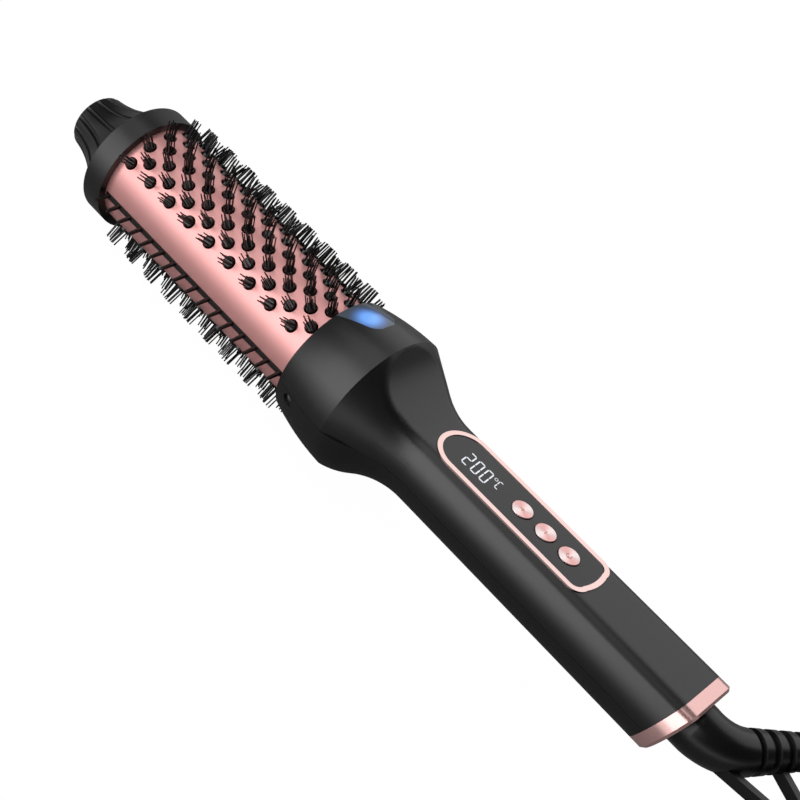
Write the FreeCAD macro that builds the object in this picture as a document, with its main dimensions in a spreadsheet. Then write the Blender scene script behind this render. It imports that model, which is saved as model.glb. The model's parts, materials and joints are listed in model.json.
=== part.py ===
# Heated styling brush: bristled heating barrel, moulded head and handle, display panel, swivel lead.
# Modelled along its own axis: x towards the tip, x = 0 at the head's front rim, z up out of the panel.
# Each finished piece is then placed so that the brush lies on z = 0, centred under its length.
import FreeCAD, Part
import Sketcher
import math
import os
import re
from types import SimpleNamespace

V = FreeCAD.Vector
X_AXIS = V(1, 0, 0)
Y_AXIS = V(0, 1, 0)
Z_AXIS = V(0, 0, 1)
ORIGIN = V(0, 0, 0)

doc = FreeCAD.newDocument("styling_brush")
sheet = doc.addObject("Spreadsheet::Sheet", "Sizes")

# Driving dimensions in millimetres and degrees: alias, value, meaning.
DRIVING = [
    ("barrel_length", 98.0, "barrel shown between head rim and tip collar"),
    ("barrel_radius", 20.0, "outside of the barrel tube"),
    ("barrel_wall", 1.2, "wall of the barrel tube"),
    ("barrel_inset", 2.4, "barrel hidden inside the head's rim"),
    ("collar_grip", 1.6, "barrel hidden inside the tip collar"),
    ("bristle_length", 6.8, "bristles outside the barrel"),
    ("bristle_reach", "=barrel_radius + bristle_length", "radius of the bristle tips"),
    ("tuft_rows", 10, "bristle rows in the top field"),
    ("under_rows", 8, "bristle rows in the bottom field"),
    ("tufts_per_row", 9, "tufts along one row"),
    ("tuft_turn", 12.37, "angle between two rows"),
    ("tuft_end_gap", 3.55, "first and last tuft to the barrel's ends"),
    ("tuft_pitch", "=(barrel_length - 2 * tuft_end_gap) / (tufts_per_row - 0.5)", "tuft spacing along the barrel"),
    ("carrier_gap", 1.0, "carrier to the barrel's ends"),
    ("tuft_radius", 1.95, "one bundle of bristles"),
    ("hole_radius", 2.35, "bristle hole in the barrel"),
    ("carrier_thickness", 2.0, "moulded strip that holds the bristles"),
    ("carrier_edge", 6.5, "carrier past its outer row, as an angle"),
    ("comb_angle", 100.3, "comb strip from the top, round the barrel"),
    ("comb_width", 2.2, "comb strip shown in its slot"),
    ("comb_teeth", 16, "teeth on one comb strip"),
    ("comb_tip_gap", 1.75, "first tooth to the tip collar"),
    ("comb_rim_gap", 3.1, "last tooth to the head's rim"),
    ("comb_pitch", "=(barrel_length - comb_tip_gap - comb_rim_gap) / (comb_teeth - 1)", "tooth spacing"),
    ("slot_gap", 0.5, "comb slot to the barrel's ends"),
    ("slot_play", 0.1, "comb strip to its slot"),
    ("comb_stand", 0.3, "comb strip above the barrel"),
    ("tooth_length", 5.5, "teeth outside the barrel"),
    ("tooth_reach", "=barrel_radius + tooth_length", "radius of the tooth tips"),
    ("tooth_radius", 0.85, "tooth at its root"),
    ("tooth_tip", 0.6, "tooth at its tip"),
    ("collar_step", 2.9, "tip collar above the barrel"),
    ("collar_radius", "=barrel_radius + collar_step", "tip collar"),
    ("collar_width", 8.7, "tip collar along the axis"),
    ("knob_length", 24.2, "fluted cool tip"),
    ("knob_root", 21.5, "cool tip where it meets the collar"),
    ("knob_radius", 10.9, "cool tip at its end"),
    ("knob_taper", 0.13, "slope of the cool tip near its end"),
    ("knob_edge", 2.0, "rounded edge of the cool tip"),
    ("knob_spigot", 8.0, "peg of the cool tip in the collar"),
    ("flutes", 16, "grip flutes round the cool tip"),
    ("flute_radius", 1.0, "one flute"),
    ("rim_step", 3.4, "head's front rim above the barrel"),
    ("rim_radius", "=barrel_radius + rim_step", "head at its front rim"),
    ("rim_swell", 0.8, "bulge of the bell between rim and crease"),
    ("crease_back", 24.0, "rim to the crease of the bell"),
    ("crease_step", 3.7, "crease above the rim"),
    ("crease_radius", "=rim_radius + crease_step", "bell at its crease"),
    ("neck_back", 52.0, "rim to the end of the neck"),
    ("neck_blend", 30.0, "hollow of the upper neck"),
    ("shoulder_back", 32.5, "rim to the rounded shoulder of the lower shell"),
    ("shoulder_step", 4.3, "that shoulder below the crease"),
    ("shoulder_radius", "=crease_radius - shoulder_step", "lower shell at that shoulder"),
    ("handle_radius", 16.0, "round of the handle"),
    ("flat_height", 11.6, "flat of the handle above the axis"),
    ("flat_back", 50.0, "rim to the start of the flat"),
    ("flat_blend", 29.0, "hollow from the flat up to the bell"),
    ("flat_round", 6.0, "rounding along both sides of the flat"),
    ("shell_wall", 2.2, "wall of both shells"),
    ("mouth_depth", 14.0, "seat of the barrel base in the head"),
    ("part_drop", 2.0, "parting line below the axis"),
    ("part_gap", 0.15, "joint line between the shells"),
    ("ring_back", 157.8, "rim to the end ring, on the axis"),
    ("ring_width", 5.3, "end ring along the axis"),
    ("ring_wall", 1.6, "wall of the end ring"),
    ("ring_bevel", 1.0, "bevel of the end ring"),
    ("end_slope", 0.26, "slant of the handle's end, along per height"),
    ("plug_inset", 1.0, "end plug below the ring's end"),
    ("plug_face", 152.0, "rim to the inner face of the end plug"),
    ("panel_front", 49.5, "rim to the round end of the panel"),
    ("panel_back", 118.2, "rim to the square end of the panel"),
    ("panel_half", 10.4, "half width of the panel with its frame"),
    ("panel_corner", 5.0, "corners at the square end"),
    ("panel_bow", 0.8, "bow of the square end"),
    ("frame_width", 1.8, "rose gold frame round the panel"),
    ("frame_rise", 0.35, "frame above the flat"),
    ("panel_depth", 1.2, "recess of the panel in the flat"),
    ("panel_ledge", 1.0, "ledge that carries the panel"),
    ("lens_rise", 0.1, "panel cover above the flat"),
    ("button_back", 84.9, "rim to the first button"),
    ("button_pitch", 10.2, "button spacing"),
    ("button_radius", 3.8, "button cap"),
    ("button_rise", 0.4, "button above the cover"),
    ("button_dish", 0.2, "hollow of the button's face"),
    ("button_flange", 4.7, "flange that keeps the button in"),
    ("flange_height", 0.9, "thickness of that flange"),
    ("button_travel", 0.7, "stroke of a button"),
    ("running_gap", 0.2, "clearance of moving pieces"),
    ("fit_gap", 0.05, "clearance of pieces that seat"),
    ("board_thickness", 1.6, "circuit boards"),
    ("board_half", 9.5, "half width of the circuit boards"),
    ("board_lap", 5.0, "control board past the panel at both ends"),
    ("switch_body", 1.5, "height of a switch body"),
    ("switch_side", 6.0, "width of a switch body"),
    ("plunger_height", 0.5, "height of a switch plunger"),
    ("plunger_radius", 1.7, "switch plunger"),
    ("display_length", 22.0, "digit display along the axis"),
    ("display_half", 5.6, "half width of the digit display"),
    ("display_back", 57.0, "rim to the digit display"),
    ("power_front", 62.0, "rim to the power board"),
    ("power_room", 10.0, "power board to the end plug"),
    ("power_length", "=plug_face - power_front - power_room", "power board along the axis"),
    ("power_half", 7.5, "half width of the power board"),
    ("capacitor_radius", 4.0, "capacitor on the power board"),
    ("capacitor_length", 16.0, "capacitor on the power board"),
    ("relay_length", 18.0, "relay on the power board"),
    ("relay_height", 8.0, "relay on the power board"),
    ("triac_height", 9.0, "switch on the power board"),
    ("triac_thickness", 4.0, "switch on the power board"),
    ("parts_half", 5.0, "half width of what is on the power board"),
    ("parts_gap", 8.0, "distance between what is on the power board"),
    ("power_drop", 8.0, "top of the power board below the axis"),
    ("window_half", 9.3, "half width of the light window at the rim"),
    ("window_tail", 6.2, "half width near its rounded end"),
    ("window_length", 14.0, "light window along the axis"),
    ("window_corner", 3.5, "rounded end of the light window"),
    ("window_thickness", 1.6, "light window"),
    ("lamp_radius", 2.5, "indicator lamp"),
    ("lamp_back", 8.0, "rim to the indicator lamp"),
    ("screw_back", 6.8, "rim to the side screws"),
    ("screw_angle", 101.5, "side screws from the top, round the head"),
    ("screw_head", 2.1, "side screw head"),
    ("screw_sink", 0.9, "side screw head below the head's surface"),
    ("screw_shank", 1.2, "side screw shank"),
    ("screw_length", 7.0, "side screw shank"),
    ("core_wall", 2.3, "wall of the heat spreader"),
    ("core_start", 9.0, "rim to the heat spreader"),
    ("core_gap", 5.0, "heat spreader to the tip collar"),
    ("core_length", "=barrel_length - core_start - core_gap", "heat spreader"),
    ("lobe_start", 66.0, "spreader lobe from the top, as an angle"),
    ("lobe_turn", 25.0, "spreader lobe, as an angle"),
    ("heater_gap", 7.0, "heating element to the spreader's ends"),
    ("heater_length", "=core_length - 2 * heater_gap", "heating element"),
    ("heater_height", 4.0, "heating element"),
    ("fuse_radius", 2.0, "thermal fuse"),
    ("fuse_length", 11.0, "thermal fuse"),
    ("sensor_radius", 1.2, "temperature sensor"),
    ("sensor_length", 5.0, "temperature sensor"),
    ("wire_radius", 0.9, "heater wires"),
    ("wire_gauge", 6.0, "distance between the heater wires"),
    ("wire_lap", 5.0, "heater wires on the power board"),
    ("spigot_depth", 8.0, "barrel base inside the barrel"),
    ("base_bore", 7.0, "wire hole in the barrel base"),
    ("boot_neck", 8.6, "swivel boot where it leaves the handle"),
    ("boot_flange", "=flat_height - shell_wall - running_gap", "flange that keeps the boot in"),
    ("boot_straight", 167.0, "rim to the start of the boot's bend"),
    ("boot_bend", 16.0, "bend of the boot along its middle"),
    ("boot_turn", 60.0, "turn of the boot"),
    ("boot_end", 7.3, "boot where the strain relief starts"),
    ("slip_radius", 6.0, "brass slip rings"),
    ("relief_ribs", 7, "ribs of the strain relief"),
    ("rib_pitch", 6.043, "rib spacing"),
    ("rib_depth", 1.5, "groove between two ribs"),
    ("relief_end", 4.6, "strain relief where the cord leaves it"),
    ("loop_width", 4.2, "hang loop strap, upright"),
    ("loop_thickness", 2.4, "hang loop strap"),
    ("loop_drop", 2.5, "hang loop below the axis"),
    ("loop_root", 9.0, "boot's bend to the start of the hang loop"),
    ("loop_length", 27.0, "hang loop on its way out"),
    ("loop_heading", 187.4, "hang loop on its way out, as an angle"),
    ("loop_bend", 4.75, "round end of the hang loop"),
    ("loop_turn", 146.7, "round end of the hang loop, as an angle"),
    ("loop_return", 19.0, "hang loop on its way back"),
    ("cord_radius", 3.0, "round lead"),
    ("turn_gap", 0.6, "gap between two turns of the coil"),
    ("stretch_reach", 22.0, "strain relief to the coil"),
    ("coil_inner", 27.97, "innermost turn of the coil"),
    ("top_turns", 1.75, "turns in the top layer of the coil"),
    ("middle_turns", 1.5, "turns in each of the two middle layers"),
    ("bottom_turns", 2.0, "turns in the bottom layer"),
    ("flare_turn", 60.0, "end of the coil towards the plug, as an angle"),
    ("flare_out", 2.5, "end of the coil away from its last turn"),
    ("tie_angle", 225.0, "place of the tie round the coil"),
    ("tie_corner", 3.0, "rounded corners of the tie"),
    ("tie_thickness", 0.8, "strap that ties the coil"),
    ("tie_width", 10.0, "strap that ties the coil"),
    ("plug_half", 7.0, "half height of the plug"),
    ("plug_length", 36.0, "plug body"),
    ("plug_width", 26.0, "plug body at its pins"),
    ("plug_waist", 13.0, "plug body at its neck"),
    ("plug_neck", 12.0, "neck of the plug"),
    ("plug_round", 3.0, "rounded edges of the plug"),
    ("pin_radius", 2.0, "plug pin"),
    ("pin_length", 19.0, "plug pin"),
    ("pin_spacing", 18.6, "plug pins, centre to centre"),
]
for row, (alias, value, meaning) in enumerate(DRIVING, start=1):
    sheet.set("A%d" % row, meaning)
    sheet.set("B%d" % row, str(value))
    sheet.setAlias("B%d" % row, alias)
doc.recompute()
d = SimpleNamespace(**{alias: float(sheet.get(alias)) for alias, _, _ in DRIVING})

# Levels and places that follow from the driving dimensions.
tip_end = d.barrel_length + d.collar_width + d.knob_length
ring_top_back = d.ring_back + d.ring_width + d.end_slope * d.flat_height
bar_end = ring_top_back + d.handle_radius
floor = -d.crease_radius
bore_radius = d.barrel_radius - d.barrel_wall
carrier_outer = bore_radius - d.running_gap
carrier_inner = carrier_outer - d.carrier_thickness
lens_bottom = d.flat_height - d.panel_depth
flange_top = lens_bottom - d.running_gap
flange_bottom = flange_top - d.flange_height
plunger_top = flange_bottom - d.button_travel - d.running_gap
board_top = plunger_top - d.plunger_height - d.switch_body
MIDDLE_X = "(barrel_length + collar_width + knob_length - ring_back - ring_width - end_slope * flat_height) / 2"


# Document helpers.
def sized(text):
    return re.sub(r"[a-z][a-z_]+", lambda word: "Sizes." + word.group(0), text)


def number(text):
    return float(sheet.evalExpression(sized(text)))


PIECES = []


def piece(obj, label, x="0", y="0", z="0"):
    obj.Label = label
    obj.setExpression("Placement.Base.x", sized("%s - (%s)" % (x, MIDDLE_X)))
    obj.setExpression("Placement.Base.y", sized(y))
    obj.setExpression("Placement.Base.z", sized("%s + crease_radius" % z))
    PIECES.append(obj)
    return obj


def shaped(label, shape):
    feature = doc.addObject("Part::Feature", label)
    feature.Shape = shape
    return piece(feature, label)


def plane_of(body, role):
    return next(plane for plane in body.Origin.OriginFeatures if plane.Role == role)


def profile(body, role, points):
    sketch = body.newObject("Sketcher::SketchObject", body.Name + "_profile")
    sketch.AttachmentSupport = (plane_of(body, role), [""])
    sketch.MapMode = "FlatFace"
    places = [V(number(across), number(up), 0) for across, up in points]
    count = len(points)
    for i in range(count):
        sketch.addGeometry(Part.LineSegment(places[i], places[(i + 1) % count]))
    for i in range(count):
        sketch.addConstraint(Sketcher.Constraint("Coincident", i, 2, (i + 1) % count, 1))
    for i, (across, up) in enumerate(points):
        for kind, text, value in (("DistanceX", across, places[i].x), ("DistanceY", up, places[i].y)):
            index = sketch.addConstraint(Sketcher.Constraint(kind, -1, 1, i, 1, value))
            sketch.setExpression("Constraints[%d]" % index, sized(text))
    return sketch


def turned(label, points, axis="H_Axis"):
    body = doc.addObject("PartDesign::Body", label)
    sketch = profile(body, "XZ_Plane", points)
    turn = body.newObject("PartDesign::Revolution", label + "_turn")
    turn.Profile = sketch
    turn.ReferenceAxis = (sketch, [axis])
    turn.Angle = 360
    body.Tip = turn
    return body


def block(label, length, width, height, x, y, z):
    box = doc.addObject("Part::Box", label)
    box.setExpression("Length", sized(length))
    box.setExpression("Width", sized(width))
    box.setExpression("Height", sized(height))
    return piece(box, label, x, y, z)


def rod(label, radius, length, x, z, along):
    bar = doc.addObject("Part::Cylinder", label)
    bar.setExpression("Radius", sized(radius))
    bar.setExpression("Height", sized(length))
    bar.Placement = FreeCAD.Placement(ORIGIN, FreeCAD.Rotation(Z_AXIS, along))
    return piece(bar, label, x, "0", z)


# Geometry helpers.
def ring_point(x, radius, angle):
    turn = math.radians(angle)
    return V(x, radius * math.sin(turn), radius * math.cos(turn))


def line(start, end):
    return Part.LineSegment(start, end).toShape()


def arc_from(start, tangent, end):
    chord = end - start
    side = tangent - chord * (tangent.dot(chord) / chord.dot(chord))
    if side.Length < 1e-7:
        return line(start, end)
    side.normalize()
    half_turn = tangent.getAngle(chord)
    middle = (start + end) * 0.5 + side * (chord.Length * 0.5 * math.tan(half_turn * 0.5))
    return Part.Arc(start, middle, end).toShape()


def polygon(points):
    return Part.Face(Part.makePolygon(points + points[:1]))


def round_bar(radius, start, end, angle=None):
    if angle is None:
        return Part.makeCylinder(radius, end - start, V(start, 0, 0), X_AXIS)
    return Part.makeCylinder(radius, end - start, ring_point(0, start, angle), ring_point(0, 1, angle))


def sector(inner, outer, start, end, from_angle, turn):
    points = [V(start, 0, inner), V(end, 0, inner), V(end, 0, outer), V(start, 0, outer)]
    solid = polygon(points).revolve(ORIGIN, X_AXIS, turn)
    solid.rotate(ORIGIN, X_AXIS, -from_angle - turn)
    return solid


def spun(edges):
    return Part.Face(Part.Wire(edges)).revolve(ORIGIN, X_AXIS, 360)


def slab(points, half=60.0):
    base = polygon([V(x, -half, z) for x, z in points])
    return base.extrude(V(0, 2 * half, 0))


# Head and handle: one turned outline for each shell, a flat with a hollow run-up, a slanted end.
def outline(upper, inset):
    rim = V(0, 0, d.rim_radius - inset)
    crease = V(-d.crease_back, 0, d.crease_radius - inset)
    swell = (rim + crease) * 0.5 + V(0, 0, d.rim_swell)
    neck = V(-d.neck_back, 0, d.handle_radius - inset)
    tail = V(-bar_end, 0, d.handle_radius - inset)
    edges = [line(ORIGIN, rim), Part.Arc(rim, swell, crease).toShape()]
    if upper:
        blend = d.neck_blend + inset
        centre = neck + V(0, 0, blend)
        reach = crease - centre
        angle = math.atan2(reach.z, reach.x) - math.acos(blend / reach.Length)
        touch = centre + V(math.cos(angle), 0, math.sin(angle)) * blend
        edges += [line(crease, touch), arc_from(neck, X_AXIS, touch)]
    else:
        shoulder = V(-d.shoulder_back, 0, d.shoulder_radius - inset)
        run = shoulder - neck
        blend = run.dot(run) / (2 * run.z)
        angle = math.asin(run.x / blend)
        slope = V(math.cos(angle), 0, math.sin(angle))
        edges += [arc_from(shoulder, slope, crease), arc_from(neck, X_AXIS, shoulder)]
    edges += [line(neck, tail), line(tail, V(-bar_end, 0, 0)), line(V(-bar_end, 0, 0), ORIGIN)]
    return spun(Part.__sortEdges__(edges))


def above_flat(inset):
    level = d.flat_height - inset
    top = d.crease_radius + d.flat_blend
    start = V(-d.flat_back, 0, level)
    lift = d.crease_radius - d.flat_height + d.rim_swell
    angle = math.acos(1 - lift / d.flat_blend)
    middle = start + V(math.sin(angle / 2), 0, 1 - math.cos(angle / 2)) * d.flat_blend
    end = start + V(math.sin(angle), 0, 1 - math.cos(angle)) * d.flat_blend
    corner = V(-2 * bar_end, 0, level)
    edges = [line(corner, start), Part.Arc(start, middle, end).toShape(), line(end, V(end.x, 0, top)),
             line(V(end.x, 0, top), V(corner.x, 0, top)), line(V(corner.x, 0, top), corner)]
    face = Part.Face(Part.Wire(edges))
    face.translate(V(0, -2 * d.handle_radius, 0))
    return face.extrude(V(0, 4 * d.handle_radius, 0))


def long_ridges(solid, level):
    return [edge for edge in solid.Edges
            if edge.Length > d.crease_step and abs(edge.CenterOfMass.y) > 1
            and edge.BoundBox.ZMin > level - 0.01 and edge.BoundBox.XMax < -d.crease_back]


def upper_form(inset):
    form = outline(True, inset).cut(above_flat(inset))
    return form.makeFillet(d.flat_round - inset, long_ridges(form, d.flat_height - inset))


def before_end(back):
    reach = 2 * d.crease_radius
    slant = d.end_slope * reach
    return slab([(reach, reach), (-back - slant, reach), (-back + slant, -reach), (reach, -reach)])


def grip_bar(inset, start, end):
    bar = round_bar(d.handle_radius - inset, start, end)
    lid = slab([(start, d.flat_height - inset), (end, d.flat_height - inset),
                (end, 2 * d.handle_radius), (start, 2 * d.handle_radius)])
    bar = bar.cut(lid)
    sides = [edge for edge in bar.Edges if edge.Length > 0.9 * (end - start) and edge.CenterOfMass.z > 0
             and abs(edge.CenterOfMass.y) > 1]
    return bar.makeFillet(d.flat_round - inset, sides)


def panel_outline(inset, level):
    half = d.panel_half - inset
    corner = d.panel_corner - inset
    front = -d.panel_front - d.panel_half
    back = -d.panel_back + inset + d.panel_bow
    flat = half - corner
    diagonal = corner * (1 - math.sqrt(0.5))
    points = [V(front, half, level), V(back + corner, half, level), V(back, flat, level),
              V(back, -flat, level), V(back + corner, -half, level), V(front, -half, level)]
    return Part.Face(Part.Wire([
        line(points[0], points[1]),
        Part.Arc(points[1], V(back + diagonal, half - diagonal, level), points[2]).toShape(),
        Part.Arc(points[2], V(back - d.panel_bow, 0, level), points[3]).toShape(),
        Part.Arc(points[3], V(back + diagonal, diagonal - half, level), points[4]).toShape(),
        line(points[4], points[5]),
        Part.Arc(points[5], V(front + half, 0, level), points[0]).toShape()]))


def panel_block(inset, bottom, top):
    return panel_outline(inset, bottom).extrude(V(0, 0, top - bottom))


def window_block(inset):
    front = d.window_half - inset
    tail = d.window_tail - inset
    end = -d.window_length + inset
    bend = end + d.window_corner
    cut = d.window_corner
    points = [V(1, front, 0), V(bend, tail, 0), V(end, tail - cut, 0),
              V(end, cut - tail, 0), V(bend, -tail, 0), V(1, -front, 0)]
    slope = points[1] - points[0]
    slope.normalize()
    other = V(-slope.x, slope.y, 0)
    face = Part.Face(Part.Wire([
        line(points[0], points[1]), arc_from(points[1], slope, points[2]), line(points[2], points[3]),
        arc_from(points[4], V(slope.x, -slope.y, 0), points[3]), line(points[4], points[5]),
        line(points[5], points[0])]))
    return face.extrude(V(0, 0, 2 * d.crease_radius))


def button_place(index):
    return -d.button_back - d.button_pitch * index


def side_screw(side, radius_gap, head_gap):
    angle = side * d.screw_angle
    surface = d.rim_radius + (d.crease_radius - d.rim_radius) * d.screw_back / d.crease_back
    seat = surface - d.screw_sink
    shank = round_bar(d.screw_shank + radius_gap, seat - d.screw_length, seat, angle)
    head = round_bar(d.screw_head + head_gap, seat - d.screw_head, seat, angle)
    screw = shank.fuse(head)
    screw.translate(V(-d.screw_back, 0, 0))
    return screw, angle, seat


mouth = round_bar(d.barrel_radius + d.running_gap, -d.mouth_depth - 1, 1)
behind_mouth = slab([(-2 * bar_end, -bar_end), (-d.mouth_depth - d.fit_gap, -bar_end),
                     (-d.mouth_depth - d.fit_gap, bar_end), (-2 * bar_end, bar_end)])
board_front = -d.panel_front + d.board_lap
board_back = -d.panel_back - d.board_lap
skin = outline(True, 0).cut(outline(True, d.window_thickness))
upper_side = slab([(-2 * bar_end, d.part_gap - d.part_drop), (bar_end, d.part_gap - d.part_drop),
                   (bar_end, bar_end), (-2 * bar_end, bar_end)])
lower_side = slab([(-2 * bar_end, -d.part_drop), (bar_end, -d.part_drop), (bar_end, -bar_end),
                   (-2 * bar_end, -bar_end)])
screw_pockets = []
for side in (1, -1):
    pocket, angle, seat = side_screw(side, d.fit_gap, d.fit_gap)
    outside = round_bar(d.screw_head + d.fit_gap, seat - d.fit_gap, seat + d.handle_radius, angle)
    outside.translate(V(-d.screw_back, 0, 0))
    screw_pockets += [pocket, outside]

# Posts under the flat carry the control board; posts in the lower shell carry the power board.
post_radius = d.screw_shank + d.shell_wall / 2
board_posts = []
for along in (board_front - d.board_lap / 2, board_back + d.board_lap / 2):
    for side in (1, -1):
        place = V(along, side * d.board_half / 2, board_top)
        board_posts.append(Part.makeCylinder(post_radius, d.flat_height - d.shell_wall / 2 - board_top, place))
power_posts = []
for along in (-d.power_front - 2 * post_radius, -d.power_front - d.power_length + 2 * post_radius):
    place = V(along, 0, -d.handle_radius + d.shell_wall / 2)
    tall = d.handle_radius - d.shell_wall / 2 - d.power_drop - d.board_thickness
    power_posts.append(Part.makeCylinder(post_radius, tall, place))

panel_through = panel_block(d.frame_width + d.panel_ledge, board_top - d.board_thickness, bar_end)
upper_hollow = upper_form(d.shell_wall).common(behind_mouth)
upper = upper_form(0).cut([upper_hollow, mouth]).fuse(board_posts)
upper = upper.common(upper_side).common(before_end(d.ring_back))
upper = upper.cut([panel_block(-d.fit_gap, lens_bottom - d.fit_gap, bar_end), panel_through,
                   skin.common(window_block(-d.fit_gap)),
                   Part.makeCylinder(d.lamp_radius + d.fit_gap, bar_end, V(-d.lamp_back, 0, 0))]
                  + screw_pockets)
window = skin.common(window_block(0)).common(upper_side)
shaped("upper_shell", upper)
shaped("light_window", window)

lower_hollow = outline(False, d.shell_wall).common(behind_mouth)
lower = outline(False, 0).cut([lower_hollow, mouth]).fuse(power_posts)
lower = lower.common(lower_side).common(before_end(d.ring_back)).cut(screw_pockets)
shaped("lower_shell", lower)

# Side screws: a domed head in a sunk pocket on each side of the head's rim.
screws = []
for side in (1, -1):
    screws.append(side_screw(side, 0, 0)[0].removeSplitter())
shaped("head_screws", Part.makeCompound(screws))

# Light window's lamp stands on the barrel base, under the window.
lamp_foot = d.barrel_radius + d.running_gap
lamp_room = d.rim_radius + (d.crease_radius - d.rim_radius) * d.lamp_back / d.crease_back - d.window_thickness
lamp = Part.makeCylinder(d.lamp_radius, lamp_room - lamp_foot - d.running_gap, V(-d.lamp_back, 0, lamp_foot))
shaped("indicator_lamp", lamp)

# Panel: frame, cover, display, board and switches.
frame_top = d.flat_height + d.frame_rise
frame = panel_block(0, lens_bottom, frame_top).cut(panel_block(d.frame_width, lens_bottom - 1, frame_top + 1))
shaped("panel_frame", frame)
cover = panel_block(d.frame_width + d.fit_gap, lens_bottom, d.flat_height + d.lens_rise)
button_holes = [Part.makeCylinder(d.button_radius + d.running_gap, bar_end, V(button_place(i), 0, 0)) for i in range(3)]
shaped("panel_cover", cover.cut(button_holes))

board_level = ("flat_height - panel_depth - running_gap - flange_height - button_travel - running_gap"
               " - plunger_height - switch_body")
block("control_board", "panel_back - panel_front + 2 * board_lap", "2 * board_half", "board_thickness",
      "0 - panel_back - board_lap", "0 - board_half", board_level + " - board_thickness")
block("display_module", "display_length", "2 * display_half",
      "flat_height - panel_depth - running_gap - (%s)" % board_level,
      "0 - display_back - display_length", "0 - display_half", board_level)
switches = []
for i in range(3):
    half = d.switch_side / 2
    body = Part.makeBox(d.switch_side, d.switch_side, d.switch_body, V(button_place(i) - half, -half, board_top))
    plunger = Part.makeCylinder(d.plunger_radius, d.plunger_height, V(button_place(i), 0, board_top + d.switch_body))
    switches.append(body.fuse(plunger))
shaped("tact_switches", Part.makeCompound(switches))

# Buttons: a dished cap and the flange that keeps it under the cover.
button_profile = [
    ("0", "0"), ("button_flange", "0"), ("button_flange", "flange_height"), ("button_radius", "flange_height"),
    ("button_radius", "flange_height + running_gap + panel_depth + lens_rise + button_rise - button_dish"),
    ("button_radius - button_dish", "flange_height + running_gap + panel_depth + lens_rise + button_rise"),
    ("0", "flange_height + running_gap + panel_depth + lens_rise + button_rise - button_dish"),
]
for i, label in enumerate(("plus_button", "minus_button", "power_button")):
    piece(turned(label, button_profile, "V_Axis"), label, x="0 - button_back - button_pitch * %d" % i,
          z="flat_height - panel_depth - running_gap - flange_height")

# Power board with its capacitor, relay and triac, on posts of the lower shell.
board_bottom = -d.power_drop - d.board_thickness
power = Part.makeBox(d.power_length, 2 * d.power_half, d.board_thickness,
                     V(-d.power_front - d.power_length, -d.power_half, board_bottom))
capacitor_start = -d.power_front - d.parts_gap - d.capacitor_length
relay_start = capacitor_start - d.parts_gap - d.relay_length
triac_start = relay_start - d.parts_gap - d.triac_thickness
capacitor = round_bar(d.capacitor_radius, 0, d.capacitor_length)
capacitor.translate(V(capacitor_start, 0, -d.power_drop + d.capacitor_radius - 2 * d.fit_gap))
relay = Part.makeBox(d.relay_length, 2 * d.parts_half, d.relay_height, V(relay_start, -d.parts_half, -d.power_drop))
triac = Part.makeBox(d.triac_thickness, 2 * d.parts_half, d.triac_height,
                     V(triac_start, -d.parts_half, -d.power_drop))
shaped("power_board", power.fuse([capacitor, relay, triac]))

# End ring on the slanted end, and the plug inside it that carries the swivel.
ring = grip_bar(0, -bar_end, 0).common(before_end(d.ring_back + d.ring_width)).cut(before_end(d.ring_back))
ring_edges = []
slant = V(1, 0, d.end_slope)
for edge in ring.Edges:
    ends = [vertex.Point for vertex in edge.Vertexes] + [edge.CenterOfMass]
    if all(abs(slant.dot(point) + d.ring_back + d.ring_width) < 1e-3 for point in ends[:-1]):
        ring_edges.append(edge)
ring = ring.makeChamfer(d.ring_bevel, ring_edges).cut(grip_bar(d.ring_wall, -bar_end, 0))
shaped("end_ring", ring)
ring_core = grip_bar(d.ring_wall + d.fit_gap, -bar_end, 0).cut(before_end(d.ring_back))
shell_core = grip_bar(d.shell_wall + d.fit_gap, -bar_end, -d.plug_face).common(before_end(d.ring_back))
end_plug = ring_core.fuse(shell_core).common(before_end(d.ring_back + d.ring_width - d.plug_inset))
neck_hole = round_bar(d.boot_neck + d.running_gap, -bar_end, 0)
shaped("end_plug", end_plug.cut(neck_hole).removeSplitter())

# Barrel: drilled for the tufts and slotted for the comb strips.
barrel_start = -d.barrel_inset
barrel_stop = d.barrel_length + d.collar_grip


def field_rows(field):
    return int(d.under_rows if field else d.tuft_rows)


def tuft_places(field):
    rows = field_rows(field)
    for row in range(rows):
        angle = field + (row - (rows - 1) / 2) * d.tuft_turn
        shift = 0.5 * ((row + 1) % 2)
        for i in range(int(d.tufts_per_row)):
            yield d.barrel_length - d.tuft_end_gap - d.tuft_pitch * (i + shift), angle


def comb_place(i):
    return d.barrel_length - d.comb_tip_gap - d.comb_pitch * i


def comb_bar(width, inner, outer, angle, end_gap):
    box = Part.makeBox(d.barrel_length - 2 * end_gap, width, outer - inner, V(end_gap, -width / 2, inner))
    box.rotate(ORIGIN, X_AXIS, -angle)
    return box


barrel = round_bar(d.barrel_radius, barrel_start, barrel_stop)
barrel = barrel.cut(round_bar(bore_radius, barrel_start - 1, barrel_stop + 1))
drills = []
for field in (0, 180):
    for along, angle in tuft_places(field):
        drill = round_bar(d.hole_radius, carrier_inner, d.barrel_radius + d.barrel_wall, angle)
        drill.translate(V(along, 0, 0))
        drills.append(drill)
for side in (1, -1):
    drills.append(comb_bar(d.comb_width + 2 * d.slot_play, carrier_inner, d.barrel_radius + d.barrel_wall,
                           side * d.comb_angle, d.slot_gap))
shaped("barrel_tube", barrel.cut(drills))


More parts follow.
